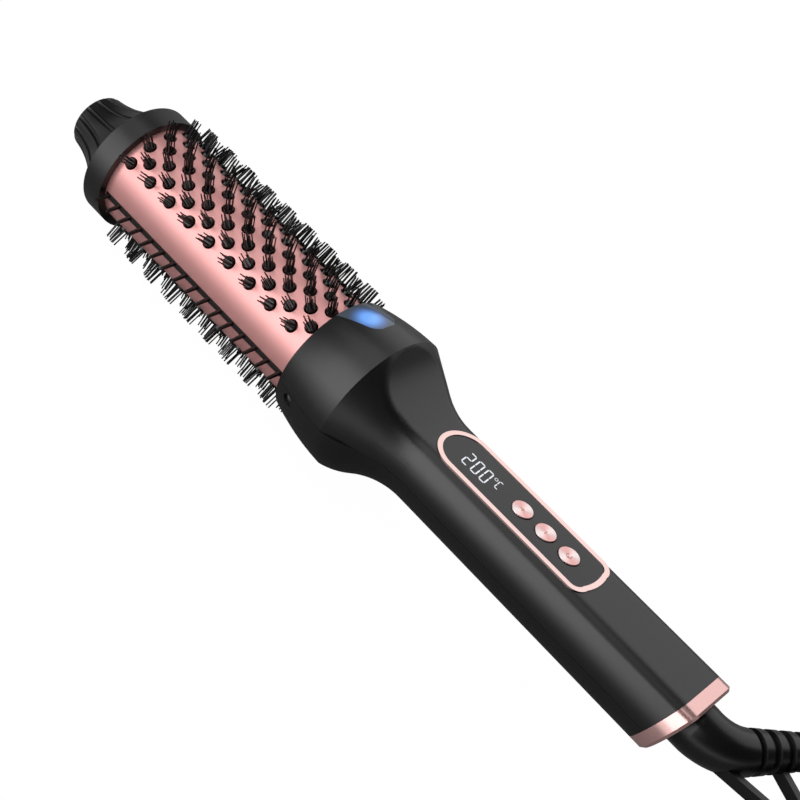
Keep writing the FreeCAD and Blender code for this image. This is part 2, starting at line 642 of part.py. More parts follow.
def tuft(along, angle):
    corners = []
    for k in range(6):
        turn = math.radians(60 * k)
        corners.append(V(along + d.tuft_radius * math.cos(turn), d.tuft_radius * math.sin(turn),
                         carrier_outer - d.carrier_thickness / 2))
    bundle = polygon(corners).extrude(V(0, 0, d.bristle_reach - carrier_outer + d.carrier_thickness / 2))
    bundle.rotate(ORIGIN, X_AXIS, -angle)
    return bundle


for label, field in (("top_bristles", 0), ("bottom_bristles", 180)):
    field_half = (field_rows(field) - 1) / 2 * d.tuft_turn + d.carrier_edge
    carrier = sector(carrier_inner, carrier_outer, d.carrier_gap, d.barrel_length - d.carrier_gap,
                     field - field_half, 2 * field_half)
    shaped(label, carrier.fuse([tuft(along, angle) for along, angle in tuft_places(field)]))

for label, side in (("left_comb", 1), ("right_comb", -1)):
    angle = side * d.comb_angle
    strip_gap = d.slot_gap + 2 * d.slot_play
    root = comb_bar(2 * d.comb_width, carrier_inner, carrier_outer - d.running_gap, angle, strip_gap)
    strip = comb_bar(d.comb_width, carrier_inner, d.barrel_radius + d.comb_stand, angle, strip_gap)
    teeth = []
    for i in range(int(d.comb_teeth)):
        tooth = Part.makeCone(d.tooth_radius, d.tooth_tip, d.tooth_reach - d.barrel_radius,
                              V(comb_place(i), 0, d.barrel_radius))
        tooth.rotate(ORIGIN, X_AXIS, -angle)
        teeth.append(tooth)
    shaped(label, root.fuse([strip] + teeth))

# Heating core: an aluminium spreader whose lobes touch the barrel, the element, fuse and sensor inside it.
core_outer = carrier_inner - d.running_gap
core_inner = core_outer - d.core_wall
core_end = d.core_start + d.core_length
core = round_bar(core_outer, d.core_start, core_end).cut(round_bar(core_inner, d.core_start - 1, core_end + 1))
lobes = [sector(core_outer - 1, bore_radius - d.fit_gap, d.core_start, core_end, start, d.lobe_turn)
         for start in (d.lobe_start, -d.lobe_start - d.lobe_turn)]
shaped("heat_spreader", core.fuse(lobes).removeSplitter())
heater_half = math.sqrt(core_inner ** 2 - (d.heater_height / 2) ** 2) - d.fit_gap
heater_start = d.core_start + (d.core_length - d.heater_length) / 2
element = Part.makeBox(d.heater_length, 2 * heater_half, d.heater_height,
                       V(heater_start, -heater_half, -d.heater_height / 2))
shaped("heating_element", element)
rod("thermal_fuse", "fuse_radius", "fuse_length", "core_start + core_length / 2",
    "heater_height / 2 + fuse_radius", X_AXIS)
rod("temperature_sensor", "sensor_radius", "sensor_length", "core_start + core_length / 4",
    "0 - heater_height / 2 - sensor_radius", X_AXIS)
wires = []
for side in (1, -1):
    start = V(-d.power_front - d.wire_lap, side * d.wire_gauge / 2, -d.power_drop + d.wire_radius)
    end = V(heater_start - 2 * d.fit_gap, side * d.wire_gauge / 2, 0)
    wires.append(Part.makeCylinder(d.wire_radius, (end - start).Length, start, end - start))
shaped("heater_wires", Part.makeCompound(wires))

# Barrel base: an insulating plug in the head's mouth, with a spigot in the barrel.
base_blank = turned("base_blank", [
    ("0 - mouth_depth", "base_bore"), ("0 - mouth_depth", "barrel_radius + running_gap - fit_gap"),
    ("0 - barrel_inset - fit_gap", "barrel_radius + running_gap - fit_gap"),
    ("0 - barrel_inset - fit_gap", "barrel_radius - barrel_wall - fit_gap"),
    ("0 - fit_gap", "barrel_radius - barrel_wall - fit_gap"),
    ("0 - fit_gap", "barrel_radius - barrel_wall - carrier_thickness - 2 * running_gap"),
    ("spigot_depth", "barrel_radius - barrel_wall - carrier_thickness - 2 * running_gap"),
    ("spigot_depth", "base_bore")])
pilot_holes = doc.addObject("Part::Feature", "pilot_holes")
pilot_holes.Shape = Part.makeCompound(screw_pockets)
barrel_base = doc.addObject("Part::Cut", "barrel_base")
barrel_base.Base = base_blank
barrel_base.Tool = pilot_holes
piece(barrel_base, "barrel_base")

# Tip collar over the barrel's end, and the fluted cool tip plugged into it.
tip_collar = turned("tip_collar", [
    ("barrel_length", "barrel_radius + fit_gap"), ("barrel_length", "collar_radius"),
    ("barrel_length + collar_width", "collar_radius"), ("barrel_length + collar_width", "knob_spigot + fit_gap"),
    ("barrel_length - fit_gap", "knob_spigot + fit_gap"),
    ("barrel_length - fit_gap", "barrel_radius - barrel_wall - fit_gap"),
    ("barrel_length + collar_grip + fit_gap", "barrel_radius - barrel_wall - fit_gap"),
    ("barrel_length + collar_grip + fit_gap", "barrel_radius + fit_gap")])
piece(tip_collar, "tip_collar")

knob_start = d.barrel_length + d.collar_width
flare_end = tip_end - d.knob_edge
flare_start = V(knob_start, 0, d.knob_root)
flare_stop = V(flare_end, 0, d.knob_radius)
flare = flare_start - flare_stop
flare_way = V(-1, 0, d.knob_taper)
flare_way.normalize()
flare_side = V(flare_way.z, 0, -flare_way.x)
flare_radius = flare.dot(flare) / (2 * flare.dot(flare_side))
flare_centre = flare_stop + flare_side * flare_radius
nose = V(tip_end, 0, d.knob_radius - d.knob_edge)
knob = spun([
    line(V(barrel_stop, 0, 0), V(barrel_stop, 0, d.knob_spigot)),
    line(V(barrel_stop, 0, d.knob_spigot), V(knob_start, 0, d.knob_spigot)),
    line(V(knob_start, 0, d.knob_spigot), flare_start),
    arc_from(flare_stop, flare_way, flare_start),
    arc_from(flare_stop, flare_way * -1, nose),
    line(nose, V(tip_end, 0, 0)),
    line(V(tip_end, 0, 0), V(barrel_stop, 0, 0))])
flute_face = Part.Face(Part.Wire(Part.makeCircle(d.flute_radius, flare_stop, X_AXIS)))
flute_turn = 0.85 * math.degrees(2 * math.asin(flare.Length / (2 * flare_radius)))
flute_tools = [flute_face.revolve(flare_centre, Y_AXIS, flute_turn), flute_face.extrude(V(d.knob_length, 0, 0))]
flute_cuts = []
for i in range(int(d.flutes)):
    for tool in flute_tools:
        cut = tool.copy()
        cut.rotate(ORIGIN, X_AXIS, i * 360 / d.flutes)
        flute_cuts.append(cut)
shaped("tip_knob", knob.cut(flute_cuts))

# Swivel boot: flange and neck on the handle's axis, then a tapered elbow towards the far side.
flange_start = -d.plug_face + d.running_gap
boot_axis_start = V(-d.boot_straight, 0, 0)
elbow_centre = boot_axis_start + V(0, -d.boot_bend, 0)
ELBOW_STEPS = 6


def elbow_frame(share):
    turn = math.radians(d.boot_turn * share)
    middle = elbow_centre + V(-math.sin(turn), math.cos(turn), 0) * d.boot_bend
    return middle, V(-math.cos(turn), -math.sin(turn), 0)


def elbow_solid(extra):
    rings = []
    for i in range(ELBOW_STEPS + 1):
        share = i / ELBOW_STEPS
        radius = d.boot_neck + (d.boot_end - d.boot_neck) * share + extra
        rings.append(Part.Wire(Part.makeCircle(radius, *elbow_frame(share))))
    return Part.makeLoft(rings, True, False)


elbow_end, lead_way = elbow_frame(1.0)
elbow = elbow_solid(0)
boot = round_bar(d.boot_neck, -d.boot_straight, flange_start).fuse(
    [elbow, round_bar(d.boot_flange, flange_start, flange_start + d.shell_wall)])
slip_seat = flange_start + d.shell_wall
spigot = round_bar(d.slip_radius - 1, slip_seat, slip_seat + 3 * d.shell_wall)
boot = boot.fuse(spigot).removeSplitter()
shaped("swivel_boot", boot)
slip_rings = []
for i in range(2):
    start = slip_seat + d.running_gap + i * 1.5 * d.shell_wall
    ring = round_bar(d.slip_radius, start, start + d.shell_wall)
    slip_rings.append(ring.cut(round_bar(d.slip_radius - 1 + d.fit_gap, start - 1, start + 2 * d.shell_wall)))
shaped("slip_rings", Part.makeCompound(slip_rings))

# Strain relief: ribs as a ruled loft along x, then turned to follow the boot.
relief_length = d.relief_ribs * d.rib_pitch


def relief_radius(along):
    return d.boot_end + (d.relief_end - d.boot_end) * along / relief_length


relief_rings = []
for i in range(int(d.relief_ribs)):
    for share, groove in ((0.0, True), (0.32, True), (0.42, False), (0.92, False)):
        along = (i + share) * d.rib_pitch
        radius = relief_radius(along) - (d.rib_depth if groove else 0)
        relief_rings.append(Part.Wire(Part.makeCircle(radius, V(along, 0, 0), X_AXIS)))
last = Part.Wire(Part.makeCircle(d.relief_end, V(relief_length, 0, 0), X_AXIS))
relief = Part.makeLoft(relief_rings + [last], True, True)
lead_turn = FreeCAD.Placement(elbow_end, FreeCAD.Rotation(X_AXIS, lead_way))
relief = relief.transformed(lead_turn.toMatrix(), True)
shaped("strain_relief", relief)
relief_tip = elbow_end + lead_way * relief_length

# Hang loop: a flat strap from the boot, round a half turn and back to the strain relief.
def level_way(angle):
    return V(math.cos(math.radians(angle)), math.sin(math.radians(angle)), 0)


loop_out = level_way(d.loop_heading)
loop_back = level_way(d.loop_heading + d.loop_turn)
loop_left = V(-loop_out.y, loop_out.x, 0)
loop_start = V(-d.boot_straight - d.loop_root, d.loop_drop, -d.loop_drop)
loop_bend_start = loop_start + loop_out * d.loop_length
loop_bend_end = loop_bend_start + (loop_left - V(-loop_back.y, loop_back.x, 0)) * d.loop_bend
loop_path = Part.Wire([line(loop_start, loop_bend_start), arc_from(loop_bend_start, loop_out, loop_bend_end),
                       line(loop_bend_end, loop_bend_end + loop_back * d.loop_return)])
strap_side = loop_left * (d.loop_thickness / 2)
strap_up = V(0, 0, d.loop_width / 2)
strap = Part.makePolygon([loop_start + strap_side + strap_up, loop_start + strap_side - strap_up,
                          loop_start - strap_side - strap_up, loop_start - strap_side + strap_up,
                          loop_start + strap_side + strap_up])
loop = loop_path.makePipeShell([strap], True, False)
relief_envelope = Part.makeCone(d.boot_end + d.fit_gap, d.relief_end + d.fit_gap, relief_length, elbow_end, lead_way)
loop = loop.cut([elbow_solid(d.fit_gap), relief_envelope])
shaped("hang_loop", max(loop.Solids, key=lambda solid: solid.Volume))

# Lead: straight out of the strain relief to the top of the coil.
layer_step = 2 * d.cord_radius + d.turn_gap
coil_low = floor + d.tie_thickness + d.running_gap + d.cord_radius
plug_level = floor + d.plug_half


def tube(label, edges):
    path = Part.Wire(edges)
    start = edges[0].Vertexes[0].Point
    heading = edges[0].tangentAt(edges[0].FirstParameter)
    round_section = Part.Wire(Part.makeCircle(d.cord_radius, start, heading))
    solid = path.makePipeShell([round_section], True, False)
    share = solid.Volume / (math.pi * d.cord_radius ** 2 * path.Length)
    print("%s: length %.1f mm, volume over section times length %.4f" % (label, path.Length, share))
    shaped(label, solid)
    return path


stretch_end = relief_tip + lead_way * d.stretch_reach
stretch_path = tube("cord_stretch", [line(relief_tip, stretch_end)])

# Coil: four layers from the top down, in, out, in and out, each with half a turn down to the next.
coil_right = V(lead_way.y, -lead_way.x, 0)
coil_start = stretch_end + lead_way * (2 * d.cord_radius)
drift = layer_step / 360
coil_outer = d.coil_inner + layer_step * d.top_turns
middle_outer = d.coil_inner + layer_step * d.middle_turns
coil_centre = coil_start + coil_right * coil_outer
coil_centre.z = coil_low
top_end = 360 * d.top_turns
second_end = top_end + 180 + 360 * d.middle_turns
third_end = second_end + 180 + 360 * d.middle_turns
flare_start = third_end + 180 + 360 * d.bottom_turns
turn_end = flare_start + d.flare_turn
reversals = [top_end + 90, second_end + 90, third_end + 90]


def coil_radius(turn):
    if turn <= reversals[0]:
        return coil_outer - drift * turn
    if turn <= reversals[1]:
        return d.coil_inner + drift * (turn - top_end - 180)
    if turn <= reversals[2]:
        return middle_outer - drift * (turn - second_end - 180)
    flare = d.flare_out * max(0.0, (turn - flare_start) / d.flare_turn)
    return d.coil_inner + drift * (turn - third_end - 180) + flare


def coil_height(turn):
    height = 3 * layer_step
    for middle in reversals:
        height -= layer_step * min(1.0, max(0.0, (turn - middle + 90) / 180))
    entry = max(0.0, 1 - turn / 90)
    end = max(0.0, (turn - flare_start) / d.flare_turn)
    return height + entry * (relief_tip.z - coil_low - 3 * layer_step) + end * (plug_level - coil_low)


def coil_point(turn):
    swing = math.radians(turn)
    place = coil_right * -math.cos(swing) + lead_way * math.sin(swing)
    return coil_centre + place * coil_radius(turn) + V(0, 0, coil_height(turn))


def coil_heading(turn):
    swing = math.radians(turn)
    heading = coil_right * math.sin(swing) + lead_way * math.cos(swing)
    outward = coil_right * -math.cos(swing) + lead_way * math.sin(swing)
    fall = 0.0
    if turn in reversals:
        slope = 0.0
        fall = 1.5 * layer_step / (math.pi * coil_radius(turn))
    elif turn == 0:
        slope = 0.0
    elif turn == turn_end:
        slope = 2 * d.flare_out / (coil_radius(turn) * math.radians(d.flare_turn))
    else:
        inward = turn < reversals[0] or reversals[1] < turn < reversals[2]
        slope = (-1 if inward else 1) * layer_step / (2 * math.pi * coil_radius(turn))
    heading = heading + outward * slope - V(0, 0, fall)
    heading.normalize()
    return heading


def biarc(start, way, end, end_way):
    chord = end - start
    ways = way + end_way
    spread = 2 * (1 - way.dot(end_way))
    along = chord.dot(ways)
    reach = (-along + math.sqrt(along ** 2 + spread * chord.dot(chord))) / spread
    middle = (start + way * reach + end - end_way * reach) * 0.5
    second = arc_from(end, end_way * -1, middle)
    centre = second.Curve.value(0.5 * (second.FirstParameter + second.LastParameter))
    return [arc_from(start, way, middle), Part.Arc(middle, centre, end).toShape()]


coil_turns = [90.0 * i for i in range(int(round(flare_start / 90)) + 1)] + [turn_end]
coil_edges = [line(stretch_end, coil_start)]
for here, there in zip(coil_turns, coil_turns[1:]):
    coil_edges += biarc(coil_point(here), coil_heading(here), coil_point(there), coil_heading(there))
coil_stop = coil_point(turn_end)
plug_way = coil_heading(turn_end)
plug_start = coil_stop + plug_way * (2 * d.cord_radius)
coil_edges.append(line(coil_stop, plug_start))
coil_path = tube("cord_coil", coil_edges)

SAMPLES = 900
coil_samples = coil_path.discretize(Number=SAMPLES)
apart = int(SAMPLES * 0.6 * 2 * math.pi * d.coil_inner / coil_path.Length)
least = min((coil_samples[i] - coil_samples[k]).Length
            for i in range(SAMPLES) for k in range(i + apart, SAMPLES))
near_tip = min((relief_tip - point).Length for point in coil_samples[30:])
print("coil: least gap to itself %.2f mm, to the strain relief %.2f mm" % (
    least - 2 * d.cord_radius, near_tip - d.cord_radius - d.relief_end))
print("lead: %.1f mm from strain relief to plug" % (stretch_path.Length + coil_path.Length))

# Tie: a strap round the bundle, sized from the turns that pass through it.
tie_swing = math.radians(d.tie_angle)
tie_out = coil_right * -math.cos(tie_swing) + lead_way * math.sin(tie_swing)
tie_along = V(-tie_out.y, tie_out.x, 0)
inside = [point - coil_centre for point in coil_samples
          if abs((point - coil_centre).dot(tie_along)) < d.tie_width / 2 + 1
          and (point - coil_centre).dot(tie_out) > 0]
tie_room = d.cord_radius + d.running_gap
tie_near = min(point.dot(tie_out) for point in inside) - tie_room
tie_far = max(point.dot(tie_out) for point in inside) + tie_room
tie_low = -d.cord_radius - d.running_gap
tie_high = 3 * layer_step + tie_room


def rounded_box(near, far, low, high, corner):
    box = Part.makeBox(far - near, d.tie_width, high - low, V(near, -d.tie_width / 2, low))
    upright = [edge for edge in box.Edges if abs(abs(edge.tangentAt(0).y) - 1) < 1e-6]
    return box.makeFillet(corner, upright)


band = rounded_box(tie_near - d.tie_thickness, tie_far + d.tie_thickness, tie_low - d.tie_thickness,
                   tie_high + d.tie_thickness, d.tie_corner + d.tie_thickness)
band = band.cut(rounded_box(tie_near, tie_far, tie_low, tie_high, d.tie_corner))
tie_place = FreeCAD.Placement(coil_centre, FreeCAD.Rotation(X_AXIS, tie_out))
shaped("coil_tie", band.transformed(tie_place.toMatrix(), True))

# Plug: tapered neck, flat rounded body, two round pins.
neck_end = d.plug_neck
wide_start = neck_end + d.plug_length / 3
plug_end = neck_end + d.plug_length
plan = [V(neck_end, -d.plug_waist / 2, -d.plug_half), V(wide_start, -d.plug_width / 2, -d.plug_half),
        V(plug_end, -d.plug_width / 2, -d.plug_half), V(plug_end, d.plug_width / 2, -d.plug_half),
        V(wide_start, d.plug_width / 2, -d.plug_half), V(neck_end, d.plug_waist / 2, -d.plug_half)]
plug = polygon(plan).extrude(V(0, 0, 2 * d.plug_half))
plug = plug.makeFillet(d.plug_round, [edge for edge in plug.Edges if abs(abs(edge.tangentAt(0).z) - 1) < 1e-6])
plug = plug.makeFillet(d.plug_round / 2, [edge for edge in plug.Edges
                                          if abs(abs(edge.CenterOfMass.z) - d.plug_half) < 1e-6])
neck = Part.makeCone(d.cord_radius + 1, d.plug_waist / 2 - 1, neck_end + 2, ORIGIN, X_AXIS)
plug = plug.fuse(neck).removeSplitter()
plug_place = FreeCAD.Placement(plug_start, FreeCAD.Rotation(X_AXIS, plug_way))
shaped("plug_body", plug.transformed(plug_place.toMatrix(), True))
pins = []
for side in (1, -1):
    pin = Part.makeCylinder(d.pin_radius, d.pin_length, V(plug_end, side * d.pin_spacing / 2, 0), X_AXIS)
    tip = [edge for edge in pin.Edges if abs(edge.CenterOfMass.x - plug_end - d.pin_length) < 1e-6]
    pins.append(pin.makeFillet(d.pin_radius / 2, tip))
pin_pair = Part.makeCompound(pins).transformed(plug_place.toMatrix(), True)
shaped("plug_pins", pin_pair)

# Check every object, then write one STEP file for each piece.
doc.recompute()
for obj in doc.Objects:
    if "Invalid" in obj.State or "Error" in obj.State:
        raise RuntimeError("object did not compute: " + obj.Label)
os.makedirs("parts", exist_ok=True)
for obj in PIECES:
    if obj.Shape.isNull() or not obj.Shape.isValid():
        raise RuntimeError("bad shape: " + obj.Label)
    print("%-20s %d solid(s) %9.1f mm3" % (obj.Label, len(obj.Shape.Solids), obj.Shape.Volume))
    obj.Shape.exportStep("parts/%s.step" % obj.Label)
print("pin centre %s, way %s" % (plug_place.multVec(V(plug_end + d.pin_length / 2, 0, 0)), plug_way))
print("row shift x %.4f z %.4f" % (-number(MIDDLE_X), -floor))
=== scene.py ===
# %% [markdown]
# A heated styling brush, dressed around its CAD frame.
# The CAD model fixes every size and every moving body. This script adds what the eye needs: the camera
# and the light, the finishes, the bristles, the display's digits, the small signs and the flexible lead.

# %% Load the frame
import json
import math

import bmesh
import bpy
from mathutils import Matrix, Vector


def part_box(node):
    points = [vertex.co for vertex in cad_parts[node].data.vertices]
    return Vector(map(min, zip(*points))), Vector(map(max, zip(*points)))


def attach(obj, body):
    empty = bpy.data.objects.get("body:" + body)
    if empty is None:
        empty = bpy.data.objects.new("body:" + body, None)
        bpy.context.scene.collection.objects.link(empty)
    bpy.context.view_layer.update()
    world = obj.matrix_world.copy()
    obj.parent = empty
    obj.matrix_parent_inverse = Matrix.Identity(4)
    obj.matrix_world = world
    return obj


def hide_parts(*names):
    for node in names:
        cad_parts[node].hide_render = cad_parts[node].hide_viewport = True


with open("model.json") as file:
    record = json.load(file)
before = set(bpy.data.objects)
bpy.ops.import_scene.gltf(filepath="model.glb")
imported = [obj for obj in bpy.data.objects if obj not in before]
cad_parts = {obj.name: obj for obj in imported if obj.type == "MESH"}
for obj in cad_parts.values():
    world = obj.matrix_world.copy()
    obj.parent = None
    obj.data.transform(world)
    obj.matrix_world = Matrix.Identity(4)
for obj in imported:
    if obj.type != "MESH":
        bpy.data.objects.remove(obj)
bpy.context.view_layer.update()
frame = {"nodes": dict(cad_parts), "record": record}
MM = 0.001
print("CAD nodes:", len(frame["nodes"]))

# %% [markdown]
# The brush is drawn along its own axis: x runs towards the cool tip and is 0 at the head's front rim, and
# z runs up out of the display panel. Pieces could be placed in the frame's own coordinates. Reading that
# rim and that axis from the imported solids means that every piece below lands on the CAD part, with no
# fitting by eye.

# %% Places on the brush's own axis
RIM_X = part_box("lower_shell")[1].x
AXIS_Z = sum(corner.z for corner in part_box("barrel_tube")) / 2


def at(x, y, z):
    """A place in millimetres on the brush's axis, as metres in the frame."""
    return Vector((RIM_X + x * MM, y * MM, AXIS_Z + z * MM))


print("rim at %.4f m, axis at %.4f m" % (RIM_X, AXIS_Z))

# %% [markdown]
# The camera is the photograph's own. It could be turned by hand until the picture looks right. Here its
# place and its three directions were worked out from the tuft pattern and the panel's outline, which is
# more exact. A lens in millimetres and a 36 mm sensor say the same as a field of view.

# %% Camera
RIGHT = Vector((-0.664793, -0.630515, 0.400627))
DOWN = Vector((-0.666889, 0.259255, -0.698603))
FORWARD = Vector((0.336615, -0.731600, -0.592834))
CAMERA_PLACE = at(-188.406, 343.917, 286.824)
SENSOR_MM = 36.0
LENS_MM = 65.478

scene = bpy.context.scene
camera_data = bpy.data.cameras.new("camera")
camera_data.sensor_width = SENSOR_MM
camera_data.lens = LENS_MM
camera_data.clip_start = 0.01
camera = bpy.data.objects.new("camera", camera_data)
scene.collection.objects.link(camera)
camera_turn = Matrix((RIGHT, -DOWN, -FORWARD)).transposed().to_4x4()
camera.matrix_world = Matrix.Translation(CAMERA_PLACE) @ camera_turn
scene.camera = camera
print("camera at", [round(c, 3) for c in CAMERA_PLACE])

# %% [markdown]
# Materials are node trees, which could be wired by hand in the editor. In a script, a few small helpers
# keep them readable. One turns the hex colour that a designer would write into the linear values that a
# renderer needs. One feeds a node's inputs, and one adds a node with its settings and links.

# %% Helpers for materials
def colour(hex_text):
    """sRGB hex to linear red, green, blue, alpha."""
    channels = [int(hex_text[i:i + 2], 16) / 255 for i in (1, 3, 5)]
    return [c / 12.92 if c <= 0.04045 else ((c + 0.055) / 1.055) ** 2.4 for c in channels] + [1.0]


def fill(tree, node, inputs):
    """Feed inputs by name or number: a node or a socket is linked, any other value is set."""
    pairs = inputs.items() if isinstance(inputs, dict) else enumerate(inputs)
    for key, value in pairs:
        if isinstance(value, bpy.types.Node):
            value = value.outputs[0]
        if isinstance(value, bpy.types.NodeSocket):
            tree.links.new(value, node.inputs[key])
        else:
            node.inputs[key].default_value = value


def add(tree, kind, inputs=(), **settings):
    """One node with its settings and links. The kind may end in a dot and the node's operation."""
    kind, _, operation = kind.partition(".")
    node = tree.nodes.new(kind)
    if operation:
        node.operation = operation
    for name, value in settings.items():
        setattr(node, name, value)
    fill(tree, node, inputs)
    return node


def new_material(name):
    """A material with its tree, its shader and the piece's Object coordinates."""
    material = bpy.data.materials.new(name)
    material.use_nodes = True
    tree = material.node_tree
    place = add(tree, "ShaderNodeTexCoord").outputs["Object"]
    return material, tree, tree.nodes["Principled BSDF"], place


def per_mm(size_mm):
    """Texture scale that gives features of about this size, on coordinates in metres."""
    return 1.0 / (size_mm * MM)


print("middle grey in linear light: %.3f" % colour("#808080")[0])

# %% [markdown]
# Moulded, painted and anodised surfaces are built alike: a colour that drifts slowly from place to place,
# and a fine grain that breaks up the gloss. An image could give both. Noise on Object coordinates needs
# no image and no UV map, and it stays on the piece when the piece moves. Real grain is finer than a pixel
# here, so it is drawn 0.2 to 0.8 mm wide, as coarse as it needs to show.

# %% Grained surfaces
CLOUD_MM = 14.0
GRAIN_DEPTH = 0.02 * MM
# A Mix node for colours has its two tones at inputs 6 and 7 and the result at output 2.
MIX_DARK = 6
MIX_LIGHT = 7
MIX_RESULT = 2


def grained(name, dark, light, roughness, grain_mm, bump, spread=0.06, metallic=0.0, ior=1.5):
    """Two tones in slow clouds, and a fine grain in the bump and the gloss."""
    material, tree, shader, place = new_material(name)
    clouds = add(tree, "ShaderNodeTexNoise", {"Vector": place, "Scale": per_mm(CLOUD_MM), "Detail": 3.0})
    tones = add(tree, "ShaderNodeMix", {0: clouds, MIX_DARK: colour(dark), MIX_LIGHT: colour(light)},
                data_type="RGBA")
    grain = add(tree, "ShaderNodeTexNoise", {"Vector": place, "Scale": per_mm(grain_mm), "Detail": 2.0})
    gloss = add(tree, "ShaderNodeMapRange", {
        "Value": grain, "To Min": roughness - spread, "To Max": roughness + spread})
    relief = add(tree, "ShaderNodeBump", {"Height": grain, "Strength": bump, "Distance": GRAIN_DEPTH})
    fill(tree, shader, {"Base Color": tones.outputs[MIX_RESULT], "Roughness": gloss, "Normal": relief,
                        "Metallic": metallic, "IOR": ior})
    return material


print("clouds of %g mm under the grain" % CLOUD_MM)

# %% [markdown]
# Most of the brush is black, but not one black. The upper shell is painted, the lower shell is bare
# plastic, the hot end and the bristles are nylon, and the lead is soft PVC. A single material would make
# them look like one moulding, so each has its own tone, gloss and IOR, matched to the photograph.

# %% Black finishes
# After the two tones come roughness, width of the grain in mm and bump, then spread and metallic.
# Painted ABS: a smooth satin coat, on which a softbox shows as a broad soft band.
satin_abs = grained("satin_painted_abs", "#070707", "#0a0a0a", 0.36, 0.25, 0.05, ior=1.62)
# Bare ABS from an etched mould: rough, almost without highlights. Its base, lighter than the upper shell's,
# is painted light that gives the underside its flat grey.
matt_abs = grained("matt_moulded_abs", "#191919", "#1e1e1e", 0.5, 0.25, 0.08, ior=1.38)
# Nylon with glass fibres, which takes the heat: the fibres under the skin soften its highlight.
heat_nylon = grained("glass_filled_nylon", "#090909", "#0d0d0d", 0.36, 0.3, 0.06, ior=1.6)
# Drawn nylon thread: deep black with a faint sheen along its length.
bristle_nylon = grained("bristle_nylon", "#050505", "#0b0b0b", 0.38, 0.4, 0.04)
# Nylon from a polished mould: small bright glints on black.
boss_nylon = grained("polished_nylon", "#040404", "#080808", 0.16, 0.5, 0.02)
# Extruded PVC: a soft surface between satin and gloss.
lead_pvc = grained("semi_gloss_pvc", "#0c0c0d", "#131314", 0.3, 0.35, 0.06)
# Woven nylon tape: dull, with a coarse grain in place of its threads.
tie_fabric = grained("woven_nylon_tape", "#141414", "#242424", 0.75, 0.6, 0.5)
print("black finishes made")

# %% [markdown]
# The barrel is anodised aluminium: the dye gives the rose colour, and the satin oxide scatters part of
# the light, so it is only half metallic here. The trim round the panel is plated plastic, smoother and
# paler, and the end ring has a rose lacquer over its plating. Each button's face is turned on a lathe.
# Its rings could be cut into the mesh, but they are far finer than a pixel, so bump and a round anisotropic
# highlight show them. Two paler sectors, where the cut turns the light, are a painted highlight.

# %% Rose gold finishes
# Dyed oxide on aluminium: a wide rose highlight.
anodised_rose = grained("anodised_aluminium_rose", "#f5aeab", "#f8b6b3", 0.34, 0.2, 0.03, 0.05, 0.5)
# Plating on ABS: a bright thin line of pale rose.
plated_rose = grained("plated_abs_rose", "#f6d2cd", "#f9dbd6", 0.22, 0.3, 0.01, 0.03, 1.0)
# Lacquer over plating: as bright, with more rose in its shade.
ring_rose = grained("lacquered_ring_rose", "#f4c2be", "#f7cac6", 0.22, 0.3, 0.01, 0.03, 0.8)
# Etched metal of the signs: duller and darker than the face round it.
sign_rose = grained("etched_rose", "#c98a85", "#d39791", 0.45, 0.2, 0.05, 0.05, 1.0)
# A sine of the distance over 0.06 mm repeats every 0.38 mm. Real turning marks are too fine to show.
TURNING_MM = 0.06
# The two paler sectors are a painted highlight: a lighter tone at a fixed turn, where a turned face catches
# the light.
PAINTED_HIGHLIGHT_TURN = math.radians(-132)
PAINTED_HIGHLIGHT_SHARE = 0.42
RING_SHARE = 0.12


def spun_metal(name, dark, light, centre):
    """Turned face of a button: fine rings round its centre, and two paler sectors of painted highlight."""
    material, tree, shader, place = new_material(name)
    local = add(tree, "ShaderNodeMapping", {"Vector": place, "Location": -centre})
    flat = add(tree, "ShaderNodeVectorMath.MULTIPLY", [local, (1.0, 1.0, 0.0)])
    reach = add(tree, "ShaderNodeVectorMath.LENGTH", [flat]).outputs["Value"]
    count = add(tree, "ShaderNodeMath.MULTIPLY", [reach, per_mm(TURNING_MM)])
    rings = add(tree, "ShaderNodeMath.SINE", [count])
    relief = add(tree, "ShaderNodeBump", {"Height": rings, "Strength": 0.25, "Distance": 0.01 * MM})
    sides = add(tree, "ShaderNodeSeparateXYZ", [local]).outputs
    angle = add(tree, "ShaderNodeMath.ARCTAN2", [sides["Y"], sides["X"]])
    twice = add(tree, "ShaderNodeMath.MULTIPLY_ADD", [angle, 2.0, PAINTED_HIGHLIGHT_TURN])
    painted_highlight = add(tree, "ShaderNodeMath.COSINE", [twice])
    share = add(tree, "ShaderNodeMath.MULTIPLY_ADD", [painted_highlight, PAINTED_HIGHLIGHT_SHARE, 0.5])
    blend = add(tree, "ShaderNodeMath.MULTIPLY_ADD", [rings, RING_SHARE, share])
    tones = add(tree, "ShaderNodeMix", {0: blend, MIX_DARK: colour(dark), MIX_LIGHT: colour(light)},
                data_type="RGBA")
    tangent = add(tree, "ShaderNodeTangent", direction_type="RADIAL", axis="Z")
    fill(tree, shader, {"Base Color": tones.outputs[MIX_RESULT], "Normal": relief, "Tangent": tangent,
                        "Metallic": 1.0, "Roughness": 0.3, "Anisotropic": 0.85})
    return material


print("rose gold finishes made")

# %% [markdown]
# Two steel screws show in the pockets of the head. Inside the handle and the barrel nothing shows, but
# the pieces are there for anyone who takes the brush apart. They could stay grey. Each gets the finish
# that it has on a workbench, so that an opened brush looks right too.

# %% Finishes of the screws and the inner pieces
# Satin steel: a grey glint at the bottom of a pocket.
screw_steel = grained("satin_steel", "#98989b", "#acacaf", 0.35, 0.3, 0.05, metallic=1.0)
# Solder mask: green lacquer with a slight ripple.
board_green = grained("solder_mask", "#1c5a30", "#24703c", 0.35, 0.5, 0.1)
# Display glass: almost black and very smooth.
display_glass = grained("display_glass", "#101014", "#16161c", 0.12, 0.6, 0.01)
# Moulded PBT of the switches: plain and dull.
switch_plastic = grained("pbt_switch", "#151515", "#242424", 0.5, 0.4, 0.1)
